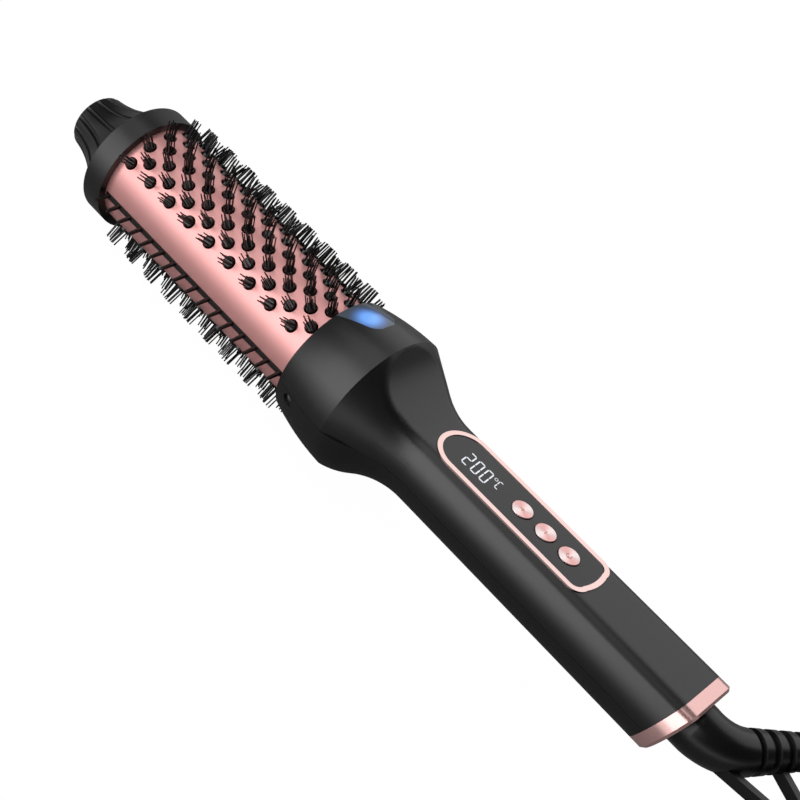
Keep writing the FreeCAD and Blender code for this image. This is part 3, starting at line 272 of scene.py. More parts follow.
# Extruded aluminium: pale grey with a soft metal shine.
extruded_aluminium = grained("extruded_aluminium", "#b8babd", "#d0d2d5", 0.38, 0.25, 0.1, 0.06, 1.0)
# Ceramic heater in polyimide film: amber, half glossy.
wrapped_ceramic = grained("film_wrapped_ceramic", "#b58a4a", "#c99a58", 0.4, 0.8, 0.1)
# Tinned steel of the fuse: darker than the spreader, with a sharper shine.
tinned_steel = grained("tinned_steel", "#9c9ea0", "#b8babc", 0.3, 0.3, 0.05, 0.05, 1.0)
# Glass bead of the sensor: brown and glossy.
glass_bead = grained("glass_bead", "#7a4a22", "#8c5628", 0.15, 0.5, 0.02)
# Silicone sleeve: pale and powdery.
silicone_sleeve = grained("silicone_sleeve", "#c9c6c0", "#dad7d0", 0.55, 0.4, 0.1)
# Turned brass of the slip rings and the plug's pins: yellow and bright.
brass = grained("turned_brass", "#c9a35a", "#dab56a", 0.25, 0.2, 0.05, 0.05, 1.0)
print("screw and inner finishes made")

# %% [markdown]
# The display's cover and the light window are smoked acrylic. Behind the window sits a blue lamp. A real
# light behind a cloudy plate would be slow to render and noisy. So the window itself gives the light: its
# glow is strongest above the lamp and falls with the distance from it.

# %% Smoked and lit finishes
LAMP = at(-7.8, 2.4, 24.6)
GLOW_NEAR = 1.6 * MM
GLOW_FAR = 8.4 * MM
GLOW_POWER = 1.2
FLICKER_MM = 3.0
FLICKER_LOW = 0.92
# Smoked acrylic: dark, flat and glossy.
smoked_cover = grained("smoked_acrylic", "#222223", "#272728", 0.2, 0.5, 0.0, 0.02)


def glowing_window():
    """Smoked acrylic that gives the light of the lamp below by itself: blue glow over the lamp, grey away
    from it.
    """
    material, tree, shader, place = new_material("lit_acrylic_window")
    away = add(tree, "ShaderNodeVectorMath.DISTANCE", [place, LAMP]).outputs["Value"]
    fade = add(tree, "ShaderNodeMapRange", {
        "Value": away, "From Min": GLOW_NEAR, "From Max": GLOW_FAR, "To Min": 1.0, "To Max": 0.0},
        interpolation_type="SMOOTHSTEP")
    glow = add(tree, "ShaderNodeMath.POWER", [fade, GLOW_POWER])
    tint = add(tree, "ShaderNodeMix", {0: glow, MIX_DARK: colour("#1c4fa8"), MIX_LIGHT: colour("#62a2fb")},
               data_type="RGBA")
    fill(tree, shader, {"Emission Color": tint.outputs[MIX_RESULT], "Emission Strength": glow,
                        "Base Color": colour("#565e67"), "Roughness": 0.14})
    return material


def glowing(name, hex_text, strength):
    """A small lit piece, with a slight unevenness as real lamps and segments have."""
    material, tree, shader, place = new_material(name)
    flicker = add(tree, "ShaderNodeTexNoise", {"Vector": place, "Scale": per_mm(FLICKER_MM), "Detail": 1.0})
    level = add(tree, "ShaderNodeMapRange", {
        "Value": flicker, "To Min": strength * FLICKER_LOW, "To Max": strength})
    fill(tree, shader, {"Emission Strength": level, "Emission Color": colour(hex_text),
                        "Base Color": colour("#202020"), "Roughness": 0.4})
    return material


window_acrylic = glowing_window()
# Epoxy of the lamp: clear blue light.
lamp_lens = glowing("lamp_epoxy", "#62a2fb", 1.0)
# Segments of the display: cool white light, just under full white.
digit_light = glowing("display_segments", "#f4f6ff", 0.95)
print("smoked and lit finishes made")

# %% [markdown]
# A CAD solid arrives as loose triangles, which shade flat. It could be drawn again by hand, but its shape
# is right already. So each visible one is copied, its points are merged, and edges sharper than a set
# angle stay crisp while the rest shade smooth. Inner pieces keep their CAD mesh and only get a finish.

# %% Smooth copies of the CAD solids
BODIES = {node: body for body, nodes in frame["record"]["behaviour"]["bodies"].items() for node in nodes}
MERGE_WITHIN = 2e-6
SLIVER = 1e-7
CAD_CREASE = 20


def coat(mesh, material):
    """This material alone on the mesh."""
    mesh.materials.clear()
    mesh.materials.append(material)


def link(name, mesh, body):
    """A piece at the origin that rides on a body."""
    piece = bpy.data.objects.new(name, mesh)
    scene.collection.objects.link(piece)
    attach(piece, body)
    return piece


def shade(mesh, crease):
    """Smooth shading, apart from edges sharper than the crease angle in degrees."""
    mesh.shade_smooth()
    mesh.set_sharp_from_angle(angle=math.radians(crease))


def smooth_copy(node, material):
    """A merged copy in the CAD solid's place, smooth apart from its crisp edges."""
    mesh = frame["nodes"][node].data.copy()
    mesh.name = node + "_smooth"
    if mesh.has_custom_normals:
        mesh.attributes.remove(mesh.attributes["custom_normal"])
    work = bmesh.new()
    work.from_mesh(mesh)
    bmesh.ops.remove_doubles(work, verts=work.verts, dist=MERGE_WITHIN)
    bmesh.ops.dissolve_degenerate(work, edges=work.edges, dist=SLIVER)
    work.to_mesh(mesh)
    work.free()
    shade(mesh, CAD_CREASE)
    coat(mesh, material)
    piece = link(node + "_dressed", mesh, BODIES[node])
    weighted = piece.modifiers.new("weighted", "WEIGHTED_NORMAL")
    weighted.keep_sharp = True
    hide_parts(node)


DRESSED = {
    "upper_shell": satin_abs, "lower_shell": matt_abs, "light_window": window_acrylic,
    "head_screws": screw_steel, "panel_frame": plated_rose, "panel_cover": smoked_cover,
    "end_ring": ring_rose, "end_plug": heat_nylon, "barrel_tube": anodised_rose,
    "left_comb": heat_nylon, "right_comb": heat_nylon, "barrel_base": heat_nylon,
    "tip_collar": heat_nylon, "tip_knob": heat_nylon, "swivel_boot": lead_pvc, "strain_relief": lead_pvc,
    "hang_loop": lead_pvc, "plug_body": lead_pvc, "plug_pins": brass,
}
HIDDEN = {
    "indicator_lamp": lamp_lens, "control_board": board_green, "display_module": display_glass,
    "tact_switches": switch_plastic, "power_board": board_green, "heat_spreader": extruded_aluminium,
    "heating_element": wrapped_ceramic, "thermal_fuse": tinned_steel, "temperature_sensor": glass_bead,
    "heater_wires": silicone_sleeve, "slip_rings": brass,
}
for node, finish in DRESSED.items():
    smooth_copy(node, finish)
for node, finish in HIDDEN.items():
    coat(frame["nodes"][node].data, finish)
print("smooth copies:", len(DRESSED), "inner pieces:", len(HIDDEN))

# %% [markdown]
# Several pieces below are skins over rings of points: a bar of the display is one ring above another, a
# tape is a row of them. Primitives could be stacked instead, but a skin follows any outline. So one
# helper lays a skin over rings, and another turns its faces outwards and puts it into a mesh.

# %% Helpers for built pieces
def loft(work, rings, loop=False, caps=True):
    """Skin over rings of places. Its ends are capped, left open, or joined to each other in a loop."""
    rows = [[work.verts.new(place) for place in ring] for ring in rings]
    count = len(rows[0])
    pairs = list(zip(rows, rows[1:]))
    if loop:
        pairs.append((rows[-1], rows[0]))
    elif caps:
        work.faces.new(rows[0][::-1])
        work.faces.new(rows[-1])
    for near, far in pairs:
        for k in range(count):
            after = (k + 1) % count
            work.faces.new((near[k], near[after], far[after], far[k]))
    return rows


def close_mesh(work, mesh, crease=None):
    """Faces turned outwards and put into the mesh, which shades flat where no crease angle is given."""
    bmesh.ops.recalc_face_normals(work, faces=work.faces)
    work.to_mesh(mesh)
    work.free()
    if crease is not None:
        shade(mesh, crease)
    return mesh


print("helpers for built pieces ready")

# %% [markdown]
# Two screws hold the head together, one in a pocket on each side. Their CAD heads are flat, and a flat
# face down in a pocket mirrors only the dark. A real pan head is a low dome that catches the light. It
# could be a scaled sphere, but a cap built from its base and its rise sits exactly on the flat head.

# %% Screw domes
SCREW_TURN = math.radians(101.5)
SCREW_BACK = -6.8
DOME_BASE = 1.95 * MM
DOME_RISE = 0.75 * MM
DOME_CREASE = 50


def dome(work, centre, way, around=24, rings=6):
    """Low cap of a sphere: rings that shrink towards its top, closed below."""
    radius = (DOME_BASE ** 2 + DOME_RISE ** 2) / (2 * DOME_RISE)
    side = way.orthogonal().normalized()
    ahead = way.cross(side)
    turns = [2 * math.pi * k / around for k in range(around)]
    spokes = [side * math.cos(turn) + ahead * math.sin(turn) for turn in turns]
    levels = []
    for i in range(rings):
        tilt = math.asin(DOME_BASE / radius) * (1 - i / rings)
        hub = centre + way * (radius * math.cos(tilt) - radius + DOME_RISE)
        levels.append([hub + spoke * radius * math.sin(tilt) for spoke in spokes])
    rows = loft(work, levels, caps=False)
    top = work.verts.new(centre + way * DOME_RISE)
    for k in range(around):
        work.faces.new((rows[-1][k], rows[-1][(k + 1) % around], top))
    work.faces.new(rows[0][::-1])


dome_work = bmesh.new()
screw_points = [vertex.co - at(0, 0, 0) for vertex in frame["nodes"]["head_screws"].data.vertices]
for side in (-1, 1):
    screw_way = Vector((0.0, side * math.sin(SCREW_TURN), math.cos(SCREW_TURN)))
    seat = max(point.dot(screw_way) for point in screw_points)
    dome(dome_work, at(SCREW_BACK, 0, 0) + screw_way * seat, screw_way)
dome_mesh = close_mesh(dome_work, bpy.data.meshes.new("screw_domes"), DOME_CREASE)
coat(dome_mesh, screw_steel)
link("screw_domes", dome_mesh, "brush")
print("screw domes:", len(dome_mesh.polygons), "faces")

# %% [markdown]
# The three buttons are metal caps with a turned face. One shared material would centre its rings on one
# place only. So each cap gets a material of its own, with the rings and the two paler sectors of painted
# highlight round its own middle.

# %% Buttons
button_tops = {}
for node in ("plus_button", "minus_button", "power_button"):
    low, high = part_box(node)
    button_tops[node] = Vector(((low.x + high.x) / 2, (low.y + high.y) / 2, high.z))
    # The lighter of the two tones paints the highlight of the sectors.
    smooth_copy(node, spun_metal("spun_" + node, "#f0b0ac", "#fdf0ee", button_tops[node]))
print("button pitch %.1f mm" % ((button_tops["plus_button"].x - button_tops["minus_button"].x) / MM))

# %% [markdown]
# Bristles stand in tufts: a polished boss fills each hole of the barrel, and a few nylon threads stand on
# it. There are over a thousand threads, too many to place one by one, so Geometry Nodes lay them out by
# rule. This first half of the tree makes one tuft. Its threads stand on a sunflower spiral, which fills a
# round boss evenly.

# %% Tuft of bristles
GOLDEN_TURN = 2.39996
TUFT_SHARE = 0.78
TIP_SHARE = 0.85
SHORTEST = 0.96
BRISTLE_SIDES = 5
BOSS_SIDES = 14
BOSS_TOP_SHARE = 0.72


def tuft_nodes(tree, given, index):
    """One tuft: each bristle leans outwards by its distance from the middle."""
    spots = add(tree, "GeometryNodePoints", {"Count": given["Bristles"]})
    half_on = add(tree, "ShaderNodeMath.ADD", [index, 0.5])
    area = add(tree, "ShaderNodeMath.DIVIDE", [half_on, given["Bristles"]])
    share = add(tree, "ShaderNodeMath.SQRT", [area])
    swing = add(tree, "ShaderNodeMath.MULTIPLY", [index, GOLDEN_TURN])
    tuft_radius = add(tree, "ShaderNodeMath.MULTIPLY", [given["Boss radius"], TUFT_SHARE])
    reach = add(tree, "ShaderNodeMath.MULTIPLY", [share, tuft_radius])
    spot_x = add(tree, "ShaderNodeMath.MULTIPLY", [reach, add(tree, "ShaderNodeMath.COSINE", [swing])])
    spot_y = add(tree, "ShaderNodeMath.MULTIPLY", [reach, add(tree, "ShaderNodeMath.SINE", [swing])])
    spot = add(tree, "ShaderNodeCombineXYZ", [spot_x, spot_y])
    spots = add(tree, "GeometryNodeSetPosition", {"Geometry": spots, "Position": spot})
    lean = add(tree, "ShaderNodeMath.MULTIPLY", [share, given["Splay"]])
    tilt = add(tree, "ShaderNodeCombineXYZ", {"Y": lean, "Z": swing})
    tip = add(tree, "ShaderNodeMath.MULTIPLY", [given["Bristle radius"], TIP_SHARE])
    bristle = add(tree, "GeometryNodeMeshCone", {
        "Vertices": BRISTLE_SIDES, "Radius Top": tip, "Radius Bottom": given["Bristle radius"],
        "Depth": given["Bristle length"]})
    # A random float has its least and greatest value at inputs 2 and 3, and comes out at output 1.
    length = add(tree, "FunctionNodeRandomValue", {2: SHORTEST, 3: 1.0, "Seed": given["Seed"]},
                 data_type="FLOAT")
    stretch = add(tree, "ShaderNodeCombineXYZ", [1.0, 1.0, length.outputs[1]])
    fan = add(tree, "GeometryNodeInstanceOnPoints", {
        "Points": spots, "Instance": bristle, "Rotation": tilt, "Scale": stretch})
    fan = add(tree, "GeometryNodeRealizeInstances", [fan])
    fan = add(tree, "GeometryNodeSetMaterial", {"Geometry": fan, "Material": bristle_nylon})
    boss_top = add(tree, "ShaderNodeMath.MULTIPLY", [given["Boss radius"], BOSS_TOP_SHARE])
    boss = add(tree, "GeometryNodeMeshCone", {
        "Vertices": BOSS_SIDES, "Radius Top": boss_top, "Radius Bottom": given["Boss radius"],
        "Depth": given["Boss depth"]})
    sunk = add(tree, "ShaderNodeCombineXYZ", {"Z": given["Boss base"]})
    boss = add(tree, "GeometryNodeTransform", {"Geometry": boss, "Translation": sunk})
    boss = add(tree, "GeometryNodeSetMaterial", {"Geometry": boss, "Material": boss_nylon})
    tuft = add(tree, "GeometryNodeJoinGeometry")
    fill(tree, tuft, [boss])
    fill(tree, tuft, [fan])
    return tuft


print("tuft rule ready")

# %% [markdown]
# The second half of the tree sets a tuft on every hole. The rows lie a fixed angle apart round the
# barrel, and every other row is shifted by half a pitch. An array modifier could repeat a row, but it
# can't shift every second one. In nodes, the row and the place along it follow from each point's number.

# %% Field of tufts
def field_nodes(tree, given, index, tuft):
    """A tuft on every hole, each turned by chance about its own axis."""
    total = add(tree, "ShaderNodeMath.MULTIPLY", [given["Rows"], given["Tufts"]])
    holes = add(tree, "GeometryNodePoints", {"Count": total})
    half_on = add(tree, "ShaderNodeMath.ADD", [index, 0.5])
    rows_done = add(tree, "ShaderNodeMath.DIVIDE", [half_on, given["Tufts"]])
    row = add(tree, "ShaderNodeMath.FLOOR", [rows_done])
    passed = add(tree, "ShaderNodeMath.MULTIPLY", [row, given["Tufts"]])
    column = add(tree, "ShaderNodeMath.SUBTRACT", [index, passed])
    row_after = add(tree, "ShaderNodeMath.ADD", [row, 1.0])
    shifted = add(tree, "ShaderNodeMath.MODULO", [row_after, 2.0])
    steps = add(tree, "ShaderNodeMath.MULTIPLY_ADD", [shifted, 0.5, column])
    back = add(tree, "ShaderNodeMath.MULTIPLY", [given["Pitch"], steps])
    along = add(tree, "ShaderNodeMath.SUBTRACT", [given["First"], back])
    last_row = add(tree, "ShaderNodeMath.SUBTRACT", [given["Rows"], 1.0])
    middle_row = add(tree, "ShaderNodeMath.DIVIDE", [last_row, 2.0])
    rows_off = add(tree, "ShaderNodeMath.SUBTRACT", [row, middle_row])
    angle = add(tree, "ShaderNodeMath.MULTIPLY_ADD", [given["Row turn"], rows_off, given["Middle"]])
    radius = given["Barrel radius"]
    side = add(tree, "ShaderNodeMath.MULTIPLY", [radius, add(tree, "ShaderNodeMath.SINE", [angle])])
    up = add(tree, "ShaderNodeMath.MULTIPLY", [radius, add(tree, "ShaderNodeMath.COSINE", [angle])])
    place = add(tree, "ShaderNodeCombineXYZ", [along, side, up])
    holes = add(tree, "GeometryNodeSetPosition", {"Geometry": holes, "Position": place})
    facing = add(tree, "ShaderNodeCombineXYZ", [add(tree, "ShaderNodeMath.MULTIPLY", [angle, -1.0])])
    field = add(tree, "GeometryNodeInstanceOnPoints", {
        "Points": holes, "Instance": tuft, "Rotation": facing})
    twist = add(tree, "FunctionNodeRandomValue", {3: 2 * math.pi, "Seed": given["Seed"]}, data_type="FLOAT")
    spin = add(tree, "ShaderNodeCombineXYZ", {"Z": twist.outputs[1]})
    return add(tree, "GeometryNodeRotateInstances", {"Instances": field, "Rotation": spin})


print("field rule ready")

# %% [markdown]
# Both halves now go into one tree. Its sizes could be fixed inside it, but named inputs let one tree make
# both fields. The finishes are set on the tuft. The tree ends by making its instances real, because only
# real faces are exported.

# %% Bristle tree
ROW_TURN = math.radians(12.37)
FIELD_INPUTS = [
    ("Rows", "NodeSocketInt", 10),
    ("Tufts", "NodeSocketInt", 9),
    ("Pitch", "NodeSocketFloat", 10.69 * MM),
    ("First", "NodeSocketFloat", 94.45 * MM),
    ("Row turn", "NodeSocketFloat", ROW_TURN),
    ("Middle", "NodeSocketFloat", 0.0),
    ("Barrel radius", "NodeSocketFloat", 20.0 * MM),
    ("Boss radius", "NodeSocketFloat", 2.25 * MM),
    ("Boss depth", "NodeSocketFloat", 2.0 * MM),
    ("Boss base", "NodeSocketFloat", -1.2 * MM),
    ("Bristles", "NodeSocketInt", 7),
    ("Bristle length", "NodeSocketFloat", 6.6 * MM),
    ("Bristle radius", "NodeSocketFloat", 0.28 * MM),
    ("Splay", "NodeSocketFloat", math.radians(0.5)),
    ("Seed", "NodeSocketInt", 3),
    ("Rim", "NodeSocketVector", (0, 0, 0)),
]


def bristle_tree():
    """The tree with its named inputs: a tuft, the field of tufts, and the move to the head's rim."""
    tree = bpy.data.node_groups.new("BristleField", "GeometryNodeTree")
    tree.interface.new_socket("Geometry", in_out="INPUT", socket_type="NodeSocketGeometry")
    for name, kind, default in FIELD_INPUTS:
        tree.interface.new_socket(name, in_out="INPUT", socket_type=kind).default_value = default
    tree.interface.new_socket("Geometry", in_out="OUTPUT", socket_type="NodeSocketGeometry")
    given = tree.nodes.new("NodeGroupInput").outputs
    index = add(tree, "GeometryNodeInputIndex")
    tuft = tuft_nodes(tree, given, index)
    field = field_nodes(tree, given, index, tuft)
    moved = add(tree, "GeometryNodeTransform", {"Geometry": field, "Translation": given["Rim"]})
    whole = add(tree, "GeometryNodeRealizeInstances", [moved])
    add(tree, "NodeGroupOutput", [whole])
    return tree


field_tree = bristle_tree()
print("bristle tree:", len(field_tree.nodes), "nodes")

# %% [markdown]
# On brushes of this kind the tufts of a field stand on one moulded strip inside the barrel. The tufts
# could be left loose, because the barrel hides the strip. It is added all the same, so that no tuft hangs
# in the air when the barrel is taken off. The tree runs once for the top field and once for the bottom
# field, and each result becomes a plain mesh.

# %% Bristle fields on their carriers
CARRIER_EDGE = math.radians(6.5)
CARRIER_INNER = 16.6
CARRIER_OUTER = 18.6
CARRIER_START = 1.0
CARRIER_END = 97.0
CARRIER_STEPS = 24
BRISTLE_CREASE = 40


def carrier(work, middle, half):
    """The moulded strip inside the barrel, bent round its axis."""
    section = [(CARRIER_START, CARRIER_INNER), (CARRIER_END, CARRIER_INNER),
               (CARRIER_END, CARRIER_OUTER), (CARRIER_START, CARRIER_OUTER)]
    angles = [middle - half + 2 * half * i / CARRIER_STEPS for i in range(CARRIER_STEPS + 1)]
    loft(work, [[at(x, r * math.sin(angle), r * math.cos(angle)) for x, r in section] for angle in angles])


def bristle_field(node, middle, rows, seed):
    """One field as a plain mesh, with its carrier, in place of the CAD solid."""
    holder = bpy.data.objects.new(node + "_field", bpy.data.meshes.new(node + "_seed"))
    scene.collection.objects.link(holder)
    modifier = holder.modifiers.new("field", "NODES")
    modifier.node_group = field_tree
    values = {"Middle": middle, "Rows": rows, "Seed": seed, "Rim": at(0, 0, 0)}
    for item in field_tree.interface.items_tree:
        if item.in_out == "INPUT" and item.name in values:
            modifier[item.identifier] = values[item.name]
    evaluated = holder.evaluated_get(bpy.context.evaluated_depsgraph_get())
    mesh = bpy.data.meshes.new_from_object(evaluated)
    bpy.data.objects.remove(holder)
    work = bmesh.new()
    work.from_mesh(mesh)
    print(node, "faces:", len(work.faces))
    carrier(work, middle, CARRIER_EDGE + ROW_TURN * (rows - 1) / 2)
    close_mesh(work, mesh, BRISTLE_CREASE)
    piece = link(node + "_dressed", mesh, BODIES[node])
    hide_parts(node)


bristle_field("top_bristles", middle=0.0, rows=10, seed=3)
bristle_field("bottom_bristles", middle=math.pi, rows=8, seed=8)

# %% [markdown]
# The display shows a temperature in slanted seven-segment digits that shine through the smoked cover.
# Text could give the digits, but no font has these bars. And light through dark acrylic would be faint
# and noisy, so each segment is a thin bar of light just proud of the cover, which stays readable from any
# side.

# %% Display digits
SEGMENTS = {"2": "abged", "0": "abcdef", "C": "afed"}
ENDS = {"a": ((0, 2), (1, 2)), "b": ((1, 2), (1, 1)), "c": ((1, 1), (1, 0)), "d": ((0, 0), (1, 0)),
        "e": ((0, 1), (0, 0)), "f": ((0, 2), (0, 1)), "g": ((0, 1), (1, 1))}
# Sign, left edge, base line, width, height and thickness of the bars, in millimetres on the display.
DIGITS = [("2", 0.0, 0.0, 2.3, 6.5, 0.5), ("0", 3.95, 0.0, 2.3, 6.5, 0.5), ("0", 7.9, 0.0, 2.3, 6.5, 0.5),
          ("C", 13.2, 2.4, 1.4, 4.0, 0.36)]
DEGREE_CENTRE = Vector((11.9, 5.7))
DEGREE_RADIUS = 0.62
DEGREE_THICK = 0.3
DEGREE_SIDES = 10
DISPLAY_LEFT = -60.7
DISPLAY_BASE = 4.1
LEAN = 0.12
COVER_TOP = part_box("panel_cover")[1].z
BAR_LEVELS = (COVER_TOP + 0.03 * MM, COVER_TOP - 0.05 * MM)


def digit_place(spot, level):
    """The display reads towards the handle's end, and its top is towards the far side."""
    place = at(DISPLAY_LEFT - spot.x + LEAN * spot.y, DISPLAY_BASE - spot.y, 0)
    return Vector((place.x, place.y, level))


def segment(work, start, end, thick, gap=0.1):
    """One bar of light with pointed ends, from start to end on the display, in millimetres."""
    way = (end - start).normalized()
    point = way * thick / 2
    side = Vector((-way.y, way.x)) * thick / 2
    near = start + way * gap
    far = end - way * gap
    outline = [near, near + point + side, far - point + side, far, far - point - side, near + point - side]
    loft(work, [[digit_place(corner, level) for corner in outline] for level in BAR_LEVELS])


digit_work = bmesh.new()
for sign, left, base, width, height, thick in DIGITS:
    for key in SEGMENTS[sign]:
        ends = [Vector((left + width * column, base + height * level / 2)) for column, level in ENDS[key]]
        segment(digit_work, *ends, thick)
degree_turns = [2 * math.pi * i / DEGREE_SIDES for i in range(DEGREE_SIDES)]
degree = [DEGREE_CENTRE + Vector((math.cos(turn), math.sin(turn))) * DEGREE_RADIUS
          for turn in degree_turns]
for start, end in zip(degree, degree[1:] + degree[:1]):
    segment(digit_work, start, end, DEGREE_THICK, 0.0)
digit_mesh = close_mesh(digit_work, bpy.data.meshes.new("display_digits"))
coat(digit_mesh, digit_light)
link("display_digits", digit_mesh, "brush")
print("display digits:", len(digit_mesh.polygons), "faces")

# %% [markdown]
# Each button carries a small etched sign: plus, minus, and a ring with a stroke for power. Cutting them
# into the caps would break up the turned face, and a painted pattern would blur. So each sign is a thin
# plate that lies in the dish of the cap and rides on its button.

# %% Button signs
SIGN_LEVELS = (-0.12 * MM, -0.18 * MM)


def rectangle(half_x, half_y, y=0.0):
    """Corners of a bar that is centred on x and may be moved along y."""
    return [(-half_x, y - half_y), (half_x, y - half_y), (half_x, y + half_y), (-half_x, y + half_y)]


def arc_band(radius, width, start, end, steps=18):
    """Part of a ring between two angles in degrees."""
    outer = [(radius + width / 2, start + (end - start) * i / steps) for i in range(steps + 1)]
    inner = [(radius - width / 2, angle) for _, angle in reversed(outer)]
    return [(r * math.cos(math.radians(a)), r * math.sin(math.radians(a))) for r, a in outer + inner]


# Outlines in millimetres from the middle of the cap.
SIGNS = {
    "plus_button": [rectangle(0.9, 0.16), rectangle(0.16, 0.36, 0.55), rectangle(0.16, 0.36, -0.55)],
    "minus_button": [rectangle(0.16, 0.9)],
    "power_button": [arc_band(0.95, 0.3, -60, 240), rectangle(0.15, 0.5, 0.75)],
}
for node, outlines in SIGNS.items():
    sign_work = bmesh.new()
    for outline in outlines:
        loft(sign_work, [[button_tops[node] + Vector((x * MM, y * MM, level)) for x, y in outline]
                         for level in SIGN_LEVELS])
    sign_mesh = close_mesh(sign_work, bpy.data.meshes.new(node + "_sign"))
    coat(sign_mesh, sign_rose)
    link(node + "_sign", sign_mesh, node)
print("button signs:", len(SIGNS))

# %% [markdown]
# The lead is a round PVC cord. Only its start shows in the photograph, so the rest is put away just
# outside it, wound in four neat layers that go in, out, in and out. It could be a chain of tubes and
# arcs, but that looks like bent wire. One smooth spline through a spiral rule bends as a cord does.

# %% Route of the lead
LEAD_WAY = Vector((-0.5, -math.sqrt(0.75), 0.0))
COIL_RIGHT = Vector((LEAD_WAY.y, -LEAD_WAY.x, 0.0))
RELIEF_TIP = Vector((-202.006, -44.633, 0.0))
CORD_RADIUS = 3.0
LAYER_STEP = 6.6
FLOOR = -AXIS_Z / MM
COIL_LOW = FLOOR + 4.0
PLUG_LEVEL = FLOOR + 7.0
COIL_INNER = 27.97
COIL_REACH = 28.0
# Turns are counted in degrees along the cord. After each layer, half a turn leads down to the next.
DESCENT = 180
LAYER_RUN = 540
TOP_END = 630
SECOND_END = TOP_END + DESCENT + LAYER_RUN
THIRD_END = SECOND_END + DESCENT + LAYER_RUN
DESCENTS = (TOP_END, SECOND_END, THIRD_END)
ENTRY_TURN = 90
LAST_RUN = 720
FLARE_START = THIRD_END + DESCENT + LAST_RUN
FLARE_TURN = 60
FLARE_OUT = 2.5
COIL_OUTER = COIL_INNER + LAYER_STEP * TOP_END / 360
MIDDLE_OUTER = COIL_INNER + LAYER_STEP * LAYER_RUN / 360


def ease(share):
    """0 to 1 with a level start and a level end."""
    share = min(1.0, max(0.0, share))
    return share * share * (3 - 2 * share)


def coil_radius(swing):
    """Layers go in, out, in and out; the last one flares towards the plug."""
    if swing <= TOP_END + DESCENT / 2:
        return COIL_OUTER - LAYER_STEP * swing / 360
    if swing <= SECOND_END + DESCENT / 2:
        return COIL_INNER + LAYER_STEP * (swing - TOP_END - DESCENT) / 360
    if swing <= THIRD_END + DESCENT / 2:
        return MIDDLE_OUTER - LAYER_STEP * (swing - SECOND_END - DESCENT) / 360
    flare = FLARE_OUT * max(0.0, (swing - FLARE_START) / FLARE_TURN) ** 2
    return COIL_INNER + LAYER_STEP * (swing - THIRD_END - DESCENT) / 360 + flare


def coil_height(swing):
    """Height over the lowest layer: down a layer at each descent, and level with the plug at the end."""
    layers = len(DESCENTS) - sum(ease((swing - start) / DESCENT) for start in DESCENTS)
    entry = (1 - ease(swing / ENTRY_TURN)) * (RELIEF_TIP.z - COIL_LOW - len(DESCENTS) * LAYER_STEP)
    return layers * LAYER_STEP + entry + ease((swing - FLARE_START) / FLARE_TURN) * (PLUG_LEVEL - COIL_LOW)


def coil_out(swing):
    """Direction from the coil's middle to the cord."""
    angle = math.radians(swing)
    return COIL_RIGHT * -math.cos(angle) + LEAD_WAY * math.sin(angle)


coil_centre = RELIEF_TIP + LEAD_WAY * COIL_REACH + COIL_RIGHT * COIL_OUTER
coil_centre.z = COIL_LOW
print("coil %.1f mm across" % (2 * (COIL_OUTER + CORD_RADIUS)))

# %% [markdown]
# A spline of order 3 touches the middle of each leg of its control polygon, so the points stand off the
# wanted circle by a fixed factor. The first point is the tip of the strain relief, and the last one runs
# on into the plug. A bevel gives the curve its round section, so the cord stays a curve whose length can
# be measured.

# %% Lead
STEP = 15
CORNER_GAIN = 1 / math.cos(math.radians(STEP / 2))
turn_end = FLARE_START + FLARE_TURN
lead_route = [RELIEF_TIP]
for i in range(int(turn_end / STEP)):
    swing = (i + 0.5) * STEP
    lead_route.append(coil_centre + coil_out(swing) * coil_radius(swing) * CORNER_GAIN
                      + Vector((0, 0, coil_height(swing))))
end_out = coil_out(turn_end)
end_way = Vector((end_out.y, -end_out.x, 0.0))
end_slope = 2 * FLARE_OUT / (coil_radius(turn_end) * math.radians(FLARE_TURN))
plug_way = (end_way + end_out * end_slope).normalized()
lead_route.append(coil_centre + end_out * coil_radius(turn_end) + Vector((0, 0, coil_height(turn_end)))
                  + plug_way * 2 * CORD_RADIUS)
lead_curve = bpy.data.curves.new("lead_cord", "CURVE")
lead_curve.dimensions = "3D"
spline = lead_curve.splines.new("NURBS")
spline.points.add(len(lead_route) - 1)
for point, place in zip(spline.points, lead_route):
    point.co = (*at(*place), 1.0)
spline.order_u = 3
spline.use_endpoint_u = True
spline.resolution_u = 4
lead_curve.bevel_depth = CORD_RADIUS * MM
lead_curve.bevel_resolution = 4
lead_curve.use_fill_caps = True
lead_curve.materials.append(lead_pvc)
lead_cord = bpy.data.objects.new("lead_cord", lead_curve)
scene.collection.objects.link(lead_cord)
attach(lead_cord, "lead")
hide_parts("cord_stretch", "cord_coil")
print("lead route points:", len(lead_route))

# %% [markdown]
# The tie is a strip of woven tape round the bundle, with its end lapped over on top. A plain band of a
# fixed size might cut into the cord. So its height and its reach are read from the CAD strap, and it
# closes round the same turns.

# %% Coil tie
TIE_THICK = 0.8 * MM
TIE_HALF = 5.0 * MM
TIE_CORNER = 3.8 * MM
TIE_CREASE = 40
LAP_START = 4.0 * MM
LAP_STEP = 0.8 * MM
LAP_GAP = 0.02 * MM
LAP_LIFT = 0.004 * MM
LAP_POINTS = 11
TIE_TURN = 225
tie_out = coil_out(TIE_TURN)
tie_along = Vector((-tie_out.y, tie_out.x, 0.0))
tie_middle = at(*coil_centre)
tie_corners = [vertex.co - tie_middle for vertex in frame["nodes"]["coil_tie"].data.vertices]
tie_near = min(corner.dot(tie_out) for corner in tie_corners)
tie_far = max(corner.dot(tie_out) for corner in tie_corners)
tie_low = min(corner.z for corner in tie_corners)
tie_high = max(corner.z for corner in tie_corners)


